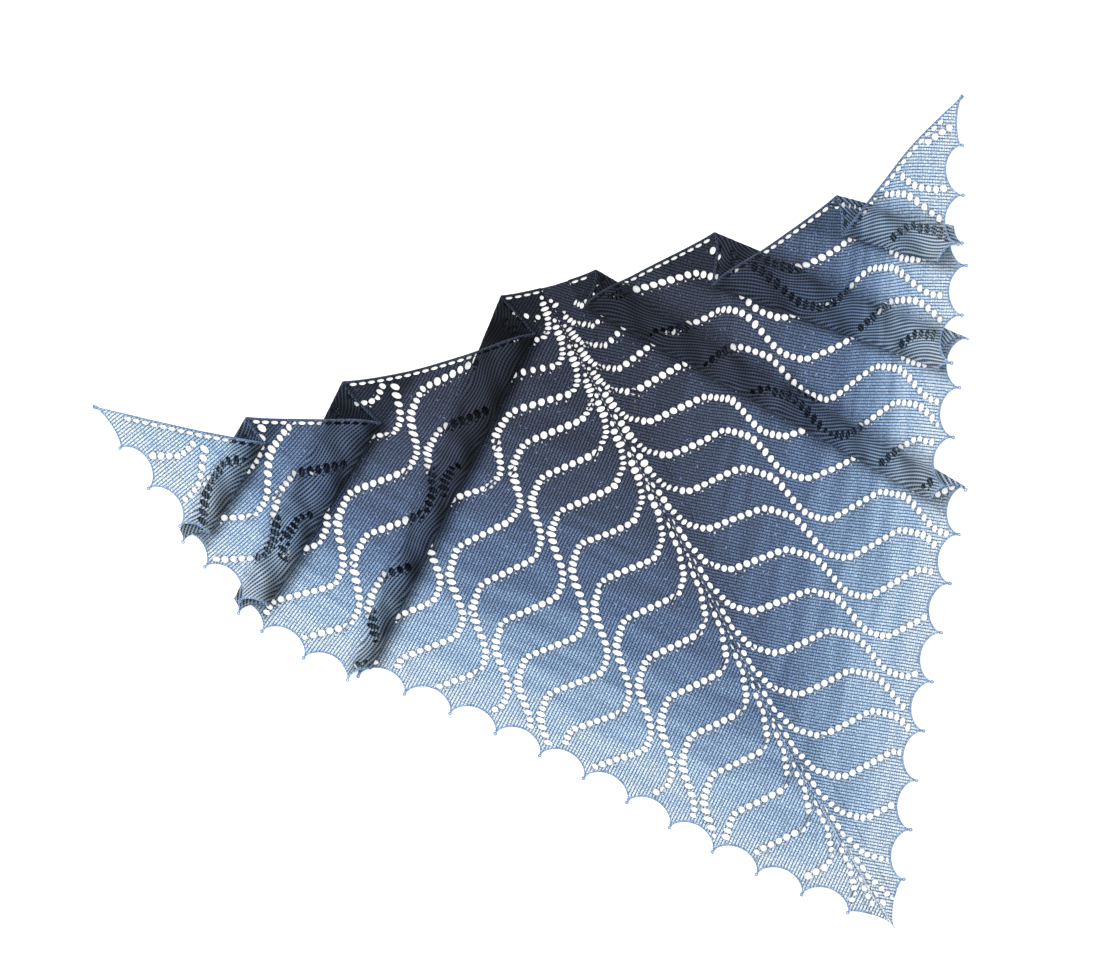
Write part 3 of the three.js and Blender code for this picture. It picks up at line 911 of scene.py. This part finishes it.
def knit_mesh(border, cut, bands, stations, wale, to_flat):
    """Triangles of one stretch of cloth with its eyelets left open, in knitted directions."""
    points, edges, ring_of = [], [], []

    def add(new, ring=-1, closed=True, linked=True):
        start = len(ring_of)
        points.append(new)
        ring_of.extend([ring] * len(new))
        if linked:
            edges.extend((start + n, start + (n + 1) % len(new)) for n in range(len(new) - (not closed)))

    add(border)
    for station in stations:
        add(station, closed=False)
    for n, ring in enumerate(cut.rings):
        add(ring, n)
    rims = np.concatenate(cut.rims)
    rims = rims[inside(rims, border)]
    rims = rims[clear_of(rims, np.concatenate(points), RIM_ROOM)]
    _, firsts = np.unique(rims // RIM_CELL, axis=0, return_index=True)
    add(off_bends(rims[np.sort(firsts)], bands, to_flat), linked=False)
    add(fill_points(border, cut.rims, wale, bands, to_flat), linked=False)

    coords = np.concatenate(points)
    scale = np.array([WALE_STEPS / wale, 1 / ROW_STEP])
    middle = (coords * scale).mean(0)
    flat_points = [Vector(p) for p in (coords * scale - middle).tolist()]
    found, _, triangles, sources, *_ = delaunay_2d_cdt(flat_points, edges, [], 0, SAME_POINT, True)
    verts = (np.array([tuple(v) for v in found]) + middle) / scale
    rings = np.full(len(verts), -1)
    for n, origins in enumerate(sources):
        for origin in origins:
            verts[n] = coords[origin]
            if ring_of[origin] >= 0:
                rings[n] = ring_of[origin]
    faces = np.array(triangles)
    corners = rings[faces]
    in_hole = (corners[:, 0] >= 0) & (corners == corners[:, :1]).all(1)
    middles = verts[faces].mean(1)
    for ring in cut.rings:
        if not inside(ring, border).all():
            close = np.nonzero((np.abs(middles - ring.mean(0)) < NEAR_HOLE).all(1))[0]
            in_hole[close[inside(middles[close], ring)]] = True
    faces = faces[~in_hole & inside(middles, border)]
    used, places = np.unique(faces, return_inverse=True)
    return verts[used], places.reshape(faces.shape), rings[used]


def stations_of(wing, number, outline):
    """The lines along which a panel bends, each as knitted places, and the bands they fill."""
    if number == 0:
        return [], []
    pleat = wing.pleats[number - 1]
    offsets = [(pleat.hidden, HIDDEN_REACH * k) for k in BEND_STEPS[1:]]
    offsets += [(pleat.shown, SHOWN_REACH * k) for k in BEND_STEPS]
    lines = []
    for fold, off in offsets:
        line = moved(fold, off)
        top, low = (crossing(line, edge)[0] for edge in (wing.neck, wing.edge))
        along = stepped(top, low, SIDE_STEP)
        beyond = (top - low) * BEYOND_EDGE
        along = along[clear_of(along, outline, STATION_ROOM)]
        along = np.concatenate([[top + beyond], along, [low - beyond]])
        lines.append(knit_of(wing, along))
    return lines, [(pleat.hidden, HIDDEN_REACH + BAND_ROOM), (pleat.shown, SHOWN_REACH + BAND_ROOM)]


def crinkle(at):
    """A soft, uneven lift of the laid cloth, with its creases, in millimetres."""
    x, y = at[:, 0], at[:, 1]
    a, b, c, d = WAVES
    first, second = WAVES_BENT
    wave = np.sin(x / a + first * np.sin(y / b)) * np.sin(y / c + second * np.sin(x / d))
    lift = CLEAR + WAVE_HEIGHT * (1 + wave)
    free = np.clip((at[:, 2] - CLEAR) / DOUBLED, LEAST_FREE, 1)
    for side, creases in CREASES.items():
        for *ends, wide, high in creases:
            start, end = np.array(ends, float).reshape(2, 2) * (WINGS[side]["mirror"], 1)
            length = np.linalg.norm(end - start)
            way = (end - start) / length
            along = (at[:, :2] - start) @ way / length
            off = (at[:, :2] - start) @ turned_left(way) + wide * CREASE_BENT * np.sin(along * CREASE_BENDS)
            fading = np.sin(np.pi * np.clip(along, 0, 1)) ** CREASE_ENDS
            lift += CREASE_DEPTH * high * fading * np.exp(-((off / wide) ** 2)) * free
    return np.maximum(lift, CLEAR)


def relief(sizes, stitch, rim):
    """How far the knitted side stands out: a ridge on each column, and a lip round each eyelet."""
    ridge = np.abs(np.sin(np.pi * stitch)) ** RIDGE_ROUND
    ridge = sizes.stitch_relief / MM * (ridge - 0.5) * (1 - RIDGE_LESS_AT_RIM * rim)
    return ridge + sizes.eyelet_lip / MM * rim


def yarn_share(number, share, flat):
    """How far down its colours each point of the yarn is, shifted darker on some panels near the neck and
    paler near the point.
    """
    fading = smooth(np.clip((share - DARKENING_FADES_AT) / DARKENING_FADES_OVER, 0, 1))
    share = share - PANEL_DARKENING[number] * (1 - fading)
    from_point = np.hypot(flat[:, 0], flat[:, 1] + SPINE_LENGTH)
    return np.clip(share + PALER_POINT * np.clip(1 - from_point / PALER_WITHIN, 0, 1), 0, 1)


# Finishing a piece


def start_of_spine():
    """The spine's start in the frame, in millimetres."""
    low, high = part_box("spine_band")
    return np.array([(low[0] + high[0]) / 2, low[1] + SPINE_LENGTH * MM]) / MM


def in_frame(at):
    at = at.copy()
    at[:, :2] += start_of_spine()
    return at


def choose(piece):
    bpy.ops.object.select_all(action="DESELECT")
    piece.select_set(True)
    bpy.context.view_layer.objects.active = piece


def write_attributes(mesh, **attributes):
    """Writes a row of numbers to the mesh's points, and a column of them to its faces' corners."""
    for key, values in attributes.items():
        layer = mesh.attributes.new(key, "FLOAT", "POINT" if values.ndim == 1 else "CORNER")
        layer.data.foreach_set("value", values.astype(np.float32).ravel())


def front_up(faces, flat, mirror=1):
    """The triangles turned so that the front of the cloth faces up once it is laid."""
    turned = np.cross(flat[faces[:, 1]] - flat[faces[:, 0]], flat[faces[:, 2]] - flat[faces[:, 0]])
    return faces[:, ::-1] if np.median(turned) * mirror < 0 else faces


def make_cloth(name, at, faces, slot, **attributes):
    """A sheet of cloth from its laid points, with its full thickness."""
    mesh = bpy.data.meshes.new(name)
    mesh.from_pydata((in_frame(at) * MM).tolist(), [], faces.tolist())
    write_attributes(mesh, **attributes)
    mesh.materials.append(material_for(slot))
    piece = bpy.data.objects.new(name, mesh)
    bpy.context.collection.objects.link(piece)
    choose(piece)
    solid = piece.modifiers.new("thickness", "SOLIDIFY")
    solid.thickness = bpy.context.scene.shawl_sizes.thickness
    solid.offset = 0
    bpy.ops.object.modifier_apply(modifier=solid.name)
    bpy.ops.object.shade_smooth()
    return piece


def polygon_area(points):
    x, y = points[:, 0], points[:, 1]
    return abs(x @ np.roll(y, -1) - y @ np.roll(x, -1)) / 2


def declare(piece, replaced, outline, rests_on, cords=()):
    """Attaches a sheet to the root and hides the part that it stands for."""
    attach(piece, "root")
    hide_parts(replaced)
    float(polygon_area(outline)) * MM * MM
    list(cords)


def knit_panel(wing, number, eyelets, spine):
    """One panel of a wing, knitted flat and laid out with its pleat."""
    sizes = bpy.context.scene.shawl_sizes
    wale = sizes.stitch_width / MM
    outline, _, _ = panel_outline(wing, number)
    border = knit_of(wing, outline)
    cut = cut_panel(wing, number, outline, eyelets, spine)
    stations, bands = stations_of(wing, number, outline)
    knit, faces, rings = knit_mesh(border, cut, bands, stations, wale, lambda p: flat_of(wing, p))
    flat = flat_of(wing, knit)
    at, normal = lay_out(wing, number, flat)
    over = layered(wing, number, flat)
    shade = fold_shade(wing, number, flat, at)
    stitch = knit[:, 0] / wale + over * twist(wing, number, flat)
    rim = (rings >= 0).astype(float)
    at += normal * relief(sizes, stitch, rim)[:, None]
    at[:, 2] += crinkle(at)
    slot = "tip_yarn" if number == len(wing.pleats) else "wing_yarn"
    piece = make_cloth(
        f"{wing.side}_lace_{number + 1}", at, front_up(faces, flat, wing.mirror), slot,
        stitch=stitch, row=knit[:, 1] / (sizes.row_height / MM), lip=rim, over=over, shade=shade,
        depth=yarn_share(number, knit[:, 1] / wing.depth, flat),
    )
    under, cords = f"{wing.side}_lace_{number}", ()
    if number == 0:
        under, cords = "floor", [bpy.data.objects[f"{wing.side}_{which}_cord"] for which in ("edge", "neck")]
    declare(piece, f"{wing.side}_panel_{number + 1}", outline, under, cords)


# The spine's lace


def spine_stitches(wings, sizes, flat, off):
    """The column, row and depth of each point of the spine, by how far off its middle it counts as."""
    wale, height = sizes.stitch_width / MM, sizes.row_height / MM
    stitch, row, share = flat[:, 0] / wale, -flat[:, 1] / height, -flat[:, 1] / SPINE_LENGTH
    for wing in wings:
        chosen = off * wing.mirror > SPINE_COLUMN_HALF_WIDTH
        knit = knit_of(wing, flat[chosen] * (wing.mirror, 1))
        stitch[chosen] = knit[:, 0] / wale
        row[chosen] = knit[:, 1] / height
        share[chosen] = knit[:, 1] / wing.depth
    return stitch, row, yarn_share(0, share, flat)


def rings_over_seam(wing, eyelets):
    """The wing's own eyelets that reach over the seam into the spine, with their rims."""
    centres = flat_of(wing, np.array([e.centre for e in eyelets]))
    near = np.abs(centres[:, 0] - SPINE_HALF_WIDTH) < SEAM_REACH
    near &= (centres[:, 1] > SEAM_ENDS - SPINE_LENGTH) & (centres[:, 1] < -SEAM_ENDS)
    for e in (eyelets[n] for n in np.nonzero(near)[0]):
        ring, rim = (
            flat_of(wing, oval(e.centre, e.direction, e.long, e.wide, HOLE_SIDES, grown)) * (wing.mirror, 1)
            for grown in (0, RIM_WIDTH)
        )
        if np.abs(ring[:, 0]).min() < SPINE_HALF_WIDTH:
            yield ring, rim


def spine_outline(wings):
    """The spine's closed outline on the flat cloth."""
    side = moved(SPINE_LINE, SPINE_HALF_WIDTH)
    halves = []
    for wing in wings:
        top, neck_to = crossing(side, wing.neck)
        low, edge_to = crossing(side, wing.edge)
        neck = spaced(np.array([*wing.neck[:neck_to], top]))
        edge = spaced(np.array([*wing.edge[:edge_to], low]))
        halves.append(np.concatenate([neck, stepped(top, low, 4)[1:], edge[::-1]]) * (wing.mirror, 1))
    left, right = halves
    return np.concatenate([left, right[-2:0:-1]])


def knit_spine(wings, charts):
    """The band along the spine, whose columns of stitches turn at the middle of its pattern."""
    sizes = bpy.context.scene.shawl_sizes
    border = spine_outline(wings)
    ends = border[np.abs(border[:, 0]) < SPINE_HALF_WIDTH - NEARLY]
    cut = Cut()
    for wing, (eyelets, spine) in zip(wings, charts):
        for ring, rim in rings_over_seam(wing, eyelets):
            cut.take(ring, rim, ring.mean(0))
        for centre, direction, long, wide in spine:
            centre, direction = centre * (wing.mirror, 1), direction * (wing.mirror, 1)
            ring = oval(centre, direction, long, wide)
            if np.abs(ring[:, 0]).min() > SPINE_HALF_WIDTH or clearance(ring, ends).min() < SPINE_ROOM:
                continue
            if not cut.crowded(centre, LEAST_IN_SPINE):
                cut.add(centre, direction, long, wide, FEW_SIDES)
    knit, faces, rings = knit_mesh(border, cut, [], [], sizes.stitch_width / MM, lambda p: p)
    rim = (rings >= 0).astype(float)
    at, normal = placed(np.eye(3), knit, REST, 1)
    off = knit[:, 0] - np.interp(-knit[:, 1], *zip(*SPINE_PATH))
    stitch, _, _ = spine_stitches(wings, sizes, knit, off)
    at += normal * relief(sizes, stitch, rim)[:, None]
    at[:, 2] += crinkle(at)
    faces = front_up(faces, knit)
    corners = knit[faces].reshape(-1, 2)
    by_corner = spine_stitches(wings, sizes, corners, np.repeat(off[faces].mean(1), 3))
    stitch, row, depth = (values[:, None] for values in by_corner)
    piece = make_cloth(
        "spine_lace", at, faces, "spine_yarn",
        stitch=stitch, row=row, depth=depth, lip=rim, over=0 * rim, shade=1 + 0 * rim,
    )
    declare(piece, "spine_band", border, "floor")


# Bound edges


def evenly(points, step):
    gone = lengths_along(points)
    return between(np.linspace(0, gone[-1], max(2, round(gone[-1] / step))), gone, points)


def inset(points, by):
    return points + by * turned_left(units(np.gradient(points, axis=0)))


def bind(name, paths, depths, slot):
    """Cords along the paths, which are lists of places in the frame, as one mesh piece."""
    curve = bpy.data.curves.new(name, "CURVE")
    curve.dimensions = "3D"
    curve.bevel_depth = STRAND_RADIUS * MM
    curve.bevel_resolution = 1
    curve.use_fill_caps = True
    for path in paths:
        spline = curve.splines.new("POLY")
        spline.points.add(len(path) - 1)
        places = np.column_stack([path * MM, np.ones(len(path))])
        spline.points.foreach_set("co", places.ravel().astype(np.float32))
    strands = bpy.data.objects.new(name, curve)
    bpy.context.collection.objects.link(strands)
    choose(strands)
    bpy.ops.object.convert(target="MESH")
    piece = bpy.context.view_layer.objects.active
    bpy.ops.object.shade_smooth()
    piece.data.materials.clear()
    piece.data.materials.append(material_for(slot))
    places = np.concatenate(paths) * MM
    tree = KDTree(len(places))
    for n, place in enumerate(places):
        tree.insert(place, n)
    tree.balance()
    nearest = np.array([tree.find(vertex.co)[1] for vertex in piece.data.vertices])
    level = np.zeros(len(nearest))
    write_attributes(
        piece.data, depth=np.concatenate(depths)[nearest], stitch=level + 0.5, row=nearest * 0.5,
        lip=level, over=level, shade=level + 1,
    )
    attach(piece, "root")


def bind_edge(wing, which):
    """Two strands along an edge, through every fold that the cloth makes, and the edge's picots."""
    way = 1 if which == "edge" else -1
    strands, depths = [], []
    for lift, off in STRANDS:
        laid, depth = [], []
        for number in range(len(wing.pleats) + 1):
            _, neck, edge = panel_outline(wing, number)
            run = evenly(edge if which == "edge" else neck, STRAND_STEP)
            at, normal = lay_out(wing, number, inset(run, off * way))
            at += normal * lift
            at[:, 2] += crinkle(at)
            laid.append(at[min(number, 1) :])
            depth.append(np.clip(knit_of(wing, run)[min(number, 1) :, 1] / wing.depth, 0, 1))
        strands.append(in_frame(np.concatenate(laid)))
        depths.append(np.concatenate(depth) * CORD_SHADE)
    if which == "edge":
        turns = np.linspace(0, 2 * np.pi, PICOT_SIDES)
        out, side = (1 - np.cos(turns))[:, None] * wing.down, np.sin(turns)[:, None] * wing.row
        for cusp in wing.edge[SCALLOP_STEPS:-1:SCALLOP_STEPS]:
            number = sum(distance(pleat.hidden, cusp[None])[0] > -HIDDEN_REACH for pleat in wing.pleats)
            at, _ = lay_out(wing, number, cusp + PICOT_RADIUS * (out + side))
            at[:, 2] += crinkle(at)
            strands.append(in_frame(at))
            depths.append(np.full(len(at), CORD_SHADE))
    bind(f"{wing.side}_{which}_cord", strands, depths, "wing_yarn")


# Materials


class Nodes:
    """Adds nodes to one material. Each input is a value or another node's output."""

    def __init__(self, name):
        material = bpy.data.materials.new(name)
        material.use_nodes = True
        self.material, self.tree = material, material.node_tree
        self.shader = self.tree.nodes["Principled BSDF"]

    def feed(self, node, inputs):
        for key, value in inputs.items():
            if hasattr(value, "links"):
                self.tree.links.new(value, node.inputs[key])
            else:
                node.inputs[key].default_value = value

    def add(self, kind, inputs, **settings):
        node = self.tree.nodes.new(f"ShaderNode{kind}")
        for key, value in settings.items():
            setattr(node, key, value)
        self.feed(node, inputs)
        return node

    def maths(self, operation, *values):
        return self.add("Math", dict(enumerate(values)), operation=operation).outputs[0]

    def plus(self, a, b):
        return self.maths("ADD", a, b)

    def minus(self, a, b):
        return self.maths("SUBTRACT", a, b)

    def times(self, a, b):
        return self.maths("MULTIPLY", a, b)

    def scaled(self, value, scale, added):
        return self.plus(self.times(value, scale), added)

    def ranged(self, value, low, high, to_low=0, to_high=1):
        inputs = {"Value": value, "From Min": low, "From Max": high, "To Min": to_low, "To Max": to_high}
        return self.add("MapRange", inputs, clamp=True, interpolation_type="SMOOTHSTEP").outputs["Result"]

    def from_half(self, value):
        """How far a pattern that repeats at each whole number is from its middle."""
        return self.maths("ABSOLUTE", self.minus(self.maths("FRACT", value), 0.5))

    def place(self, x, y):
        return self.add("CombineXYZ", {0: x, 1: y}).outputs[0]

    def noise(self, at, scale):
        return self.add("TexNoise", {"Vector": at, "Scale": scale, "Detail": 3}).outputs["Fac"]

    def attribute(self, name):
        return self.add("Attribute", {}, attribute_name=name, attribute_type="GEOMETRY").outputs["Fac"]


def material_for(slot):
    """The heathered yarn of one slot, dark at the start of the knitting and pale at its edge."""
    name = slot.replace("_", " ")
    if name in bpy.data.materials:
        return bpy.data.materials[name]
    yarn = Nodes(name)
    plus, minus, times, scaled, ranged = yarn.plus, yarn.minus, yarn.times, yarn.scaled, yarn.ranged
    stitch, row, depth, over, lip, shade = (
        yarn.attribute(key) for key in ("stitch", "row", "depth", "over", "lip", "shade")
    )
    from_middle = yarn.from_half(stitch)
    from_stitch = yarn.from_half(plus(row, times(from_middle, STITCH_LEAN)))
    ridge, narrow_ridge = ranged(from_middle, *RIDGE), ranged(from_middle, *NARROW_RIDGE)
    stitches, narrow_stitches = ranged(from_stitch, *STITCH), ranged(from_stitch, *NARROW_STITCH)
    single = minus(1, over)
    at = yarn.place(stitch, row)

    # The dye, in uneven bands along the rows
    bands = yarn.noise(yarn.place(times(stitch, DYE_SCALE[0]), times(row, DYE_SCALE[1])), 1)
    ramp = yarn.add("ValToRGB", {"Fac": plus(depth, ranged(bands, 0.3, 0.7, -DYE_UNEVEN, DYE_UNEVEN))})
    stops = ramp.color_ramp.elements
    while len(stops) < len(COLOUR_PLACES):
        stops.new(0.5)
    colours = bpy.context.scene.shawl_colours
    for stop, place, key in zip(stops, COLOUR_PLACES, colours.__annotations__):
        stop.position = place
        stop.color = (*getattr(colours, key), 1)

    # Light on the knitting, painted lighter on its ridges and stitches with painted shade in the hollows
    # between them, and on the net of single threads where it is stretched over a pleat, its gaps painted dark
    # with the shade of the layers beneath
    heather = ranged(yarn.noise(at, HEATHER_SCALE), 0.3, 0.72, *HEATHER_LIGHT)
    knitted = times(times(heather, scaled(ridge, *RIDGE_LIGHT)), scaled(stitches, *STITCH_LIGHT))
    net = yarn.maths("MAXIMUM", narrow_ridge, times(narrow_stitches, NET_STITCH))
    light = plus(times(knitted, single), times(scaled(net, *NET_LIGHT), over))
    light = times(light, minus(1, times(times(lip, single), LIP_SHADE)))

    # Painted light of the white floor, seen through pin-holes between the columns of the dark yarn, left off
    # where other layers lie beneath
    flecks = yarn.add("TexVoronoi", {"Vector": at, "Scale": FLECK_SCALE}, feature="F1")
    rare = yarn.add("SeparateColor", {0: flecks.outputs["Color"]}).outputs[0]
    floor_light_fleck = ranged(flecks.outputs["Distance"], 0.24, 0.14)
    floor_light_fleck = times(floor_light_fleck, yarn.maths("GREATER_THAN", rare, FLECKS_FEW))
    floor_light_fleck = times(times(floor_light_fleck, times(single, ranged(depth, 0.35, 0.95, 1, 0.05))), minus(1, ridge))
    light = times(plus(light, times(floor_light_fleck, FLOOR_LIGHT_FLECK)), shade)

    lit = yarn.add("VectorMath", {0: ramp.outputs["Color"], "Scale": light}, operation="SCALE").outputs[0]
    height = plus(times(ridge, RIDGE_HEIGHT), times(stitches, STITCH_HEIGHT))
    height = plus(height, times(yarn.noise(at, FUZZ_SCALE), FUZZ_HEIGHT))
    bump = yarn.add("Bump", {"Strength": BUMP_STRENGTH, "Distance": BUMP_DISTANCE, "Height": height})
    yarn.feed(yarn.shader, {"Base Color": lit, "Normal": bump.outputs[0], **YARN_SURFACE})
    return yarn.material


def plain_floor(colour):
    paper = Nodes("paper floor")
    paper.feed(paper.shader, {
        "Base Color": (*colour, 1), "Roughness": 0.9, "Specular IOR Level": 0.1,
        "Emission Color": (*colour, 1), "Emission Strength": FLOOR_GLOW,
    })
    return paper.material


# What a user may change


def length(name, description, default):
    return FloatProperty(name=name, description=description, default=default, unit="LENGTH")


def colour(name, description, *default):
    return FloatVectorProperty(
        name=name, description=description, default=default, subtype="COLOR", min=0, max=1,
    )


class ShawlSizes(bpy.types.PropertyGroup):
    """The sizes of the knitting."""

    thickness: length("Thickness", "How thick the cloth is", 0.0012)
    stitch_width: length("Stitch Width", "How wide one column of stitches is", 0.0035)
    row_height: length("Row Height", "How far apart the rows are", 0.0028)
    stitch_relief: length("Stitch Relief", "How far a column of stitches stands out", 0.0005)
    eyelet_lip: length("Eyelet Lip", "How far the yarn round an eyelet stands out", 0.0002)


class ShawlColours(bpy.types.PropertyGroup):
    """The colours of the yarn, from the start of the knitting to its edge."""

    start: colour("Start", "The yarn at the neck", 0.020, 0.024, 0.040)
    upper: colour("Upper", "The yarn a quarter of the way down", 0.031, 0.038, 0.060)
    middle: colour("Middle", "The yarn nearly half of the way down", 0.050, 0.068, 0.113)
    lower: colour("Lower", "The yarn past the middle", 0.085, 0.130, 0.225)
    pale: colour("Pale", "The yarn three quarters of the way down", 0.150, 0.228, 0.350)
    near_edge: colour("Near the Edge", "The yarn near the edge", 0.265, 0.370, 0.510)
    edge: colour("Edge", "The yarn of the last rows", 0.410, 0.490, 0.590)


class ShawlStudio(bpy.types.PropertyGroup):
    """The floor, the lights and the camera."""

    floor_size: length("Floor Size", "The side of the square floor", 8.0)
    floor_colour: colour("Floor Colour", "The colour of the floor", 0.96, 0.96, 0.96)
    camera_height: length("Camera Height", "How high the camera hangs", 4.034)
    lens: FloatProperty(name="Lens", description="The camera's focal length in millimetres", default=120.0)
    roll: FloatProperty(
        name="Roll", description="How far the view is turned", default=math.radians(-27.85), subtype="ANGLE",
    )


# The stage and the pieces


class SHAWL_OT_stage(bpy.types.Operator):
    """Lay the floor, hang the lights and point the camera straight down"""

    bl_idname = "shawl.stage"
    bl_label = "Set the Stage"

    def execute(self, context):
        studio = context.scene.shawl_studio
        bpy.ops.object.select_all(action="DESELECT")
        bpy.ops.mesh.primitive_plane_add(size=studio.floor_size, location=(0, 0, 0))
        floor = context.object
        floor.name = "floor"
        floor.data.materials.append(plain_floor(studio.floor_colour))
        x, y = start_of_spine() * MM + CAMERA_FROM_START
        bpy.ops.object.camera_add(location=(x, y, studio.camera_height), rotation=(0, 0, studio.roll))
        camera = context.object
        camera.name = "camera"
        camera.data.lens = studio.lens
        camera.data.sensor_width = SENSOR_WIDTH
        camera.data.clip_end = SEEN_WITHIN
        context.scene.camera = camera
        for name, place, turn, size, power in SOFTBOXES:
            bpy.ops.object.light_add(type="AREA", location=place, rotation=tuple(map(math.radians, turn)))
            lamp = context.object
            lamp.name = name
            lamp.data.shape = "SQUARE"
            lamp.data.size = size
            lamp.data.energy = power
        context.scene.view_settings.view_transform = "Standard"
        world = context.scene.world or bpy.data.worlds.new("studio")
        context.scene.world = world
        world.use_nodes = True
        background = world.node_tree.nodes["Background"]
        background.inputs["Color"].default_value = (1, 1, 1, 1)
        background.inputs["Strength"].default_value = WORLD_STRENGTH
        return {"FINISHED"}


class SHAWL_OT_spine(bpy.types.Operator):
    """Knit the band along the spine, with its narrow columns of eyelets"""

    bl_idname = "shawl.spine"
    bl_label = "Knit the Spine"

    def execute(self, context):
        wings = [read_wing(side) for side in WINGS]
        knit_spine(wings, [chart_wing(wing) for wing in wings])
        return {"FINISHED"}


class SHAWL_OT_wings(bpy.types.Operator):
    """Knit the wings in wavy lines of eyelets and lay their pleats"""

    bl_idname = "shawl.wings"
    bl_label = "Knit the Wings"

    def execute(self, context):
        for wing in map(read_wing, WINGS):
            eyelets, spine = chart_wing(wing)
            for number in range(len(wing.pleats) + 1):
                knit_panel(wing, number, eyelets, spine)
        return {"FINISHED"}


class SHAWL_OT_edges(bpy.types.Operator):
    """Bind the scalloped edge and the neck edge with cords"""

    bl_idname = "shawl.edges"
    bl_label = "Bind the Edges"

    def execute(self, context):
        for wing in map(read_wing, WINGS):
            bind_edge(wing, "edge")
            bind_edge(wing, "neck")
        return {"FINISHED"}


class SHAWL_PT_panel(bpy.types.Panel):
    """The shawl's tools"""

    bl_idname = "SHAWL_PT_panel"
    bl_label = "Lace Shawl"
    bl_space_type = "VIEW_3D"
    bl_region_type = "UI"
    bl_category = "Shawl"

    def draw(self, context):
        for group in GROUPS:
            settings = getattr(context.scene, group)
            box = self.layout.box()
            for key in settings.__annotations__:
                box.prop(settings, key)
        for operator in STEPS:
            self.layout.operator(operator.bl_idname)


STEPS = (SHAWL_OT_stage, SHAWL_OT_edges, SHAWL_OT_spine, SHAWL_OT_wings)
GROUPS = {"shawl_sizes": ShawlSizes, "shawl_colours": ShawlColours, "shawl_studio": ShawlStudio}


def register():
    for kind in (*GROUPS.values(), *STEPS, SHAWL_PT_panel):
        bpy.utils.register_class(kind)
    for key, kind in GROUPS.items():
        setattr(bpy.types.Scene, key, PointerProperty(type=kind))


def unregister():
    for key in GROUPS:
        delattr(bpy.types.Scene, key)
    for kind in (SHAWL_PT_panel, *reversed(STEPS), *reversed(GROUPS.values())):
        bpy.utils.unregister_class(kind)


def main():
    register()
    bpy.ops.shawl.stage()
    bpy.ops.shawl.edges()
    bpy.ops.shawl.spine()
    bpy.ops.shawl.wings()


if __name__ == "__main__":
    main()
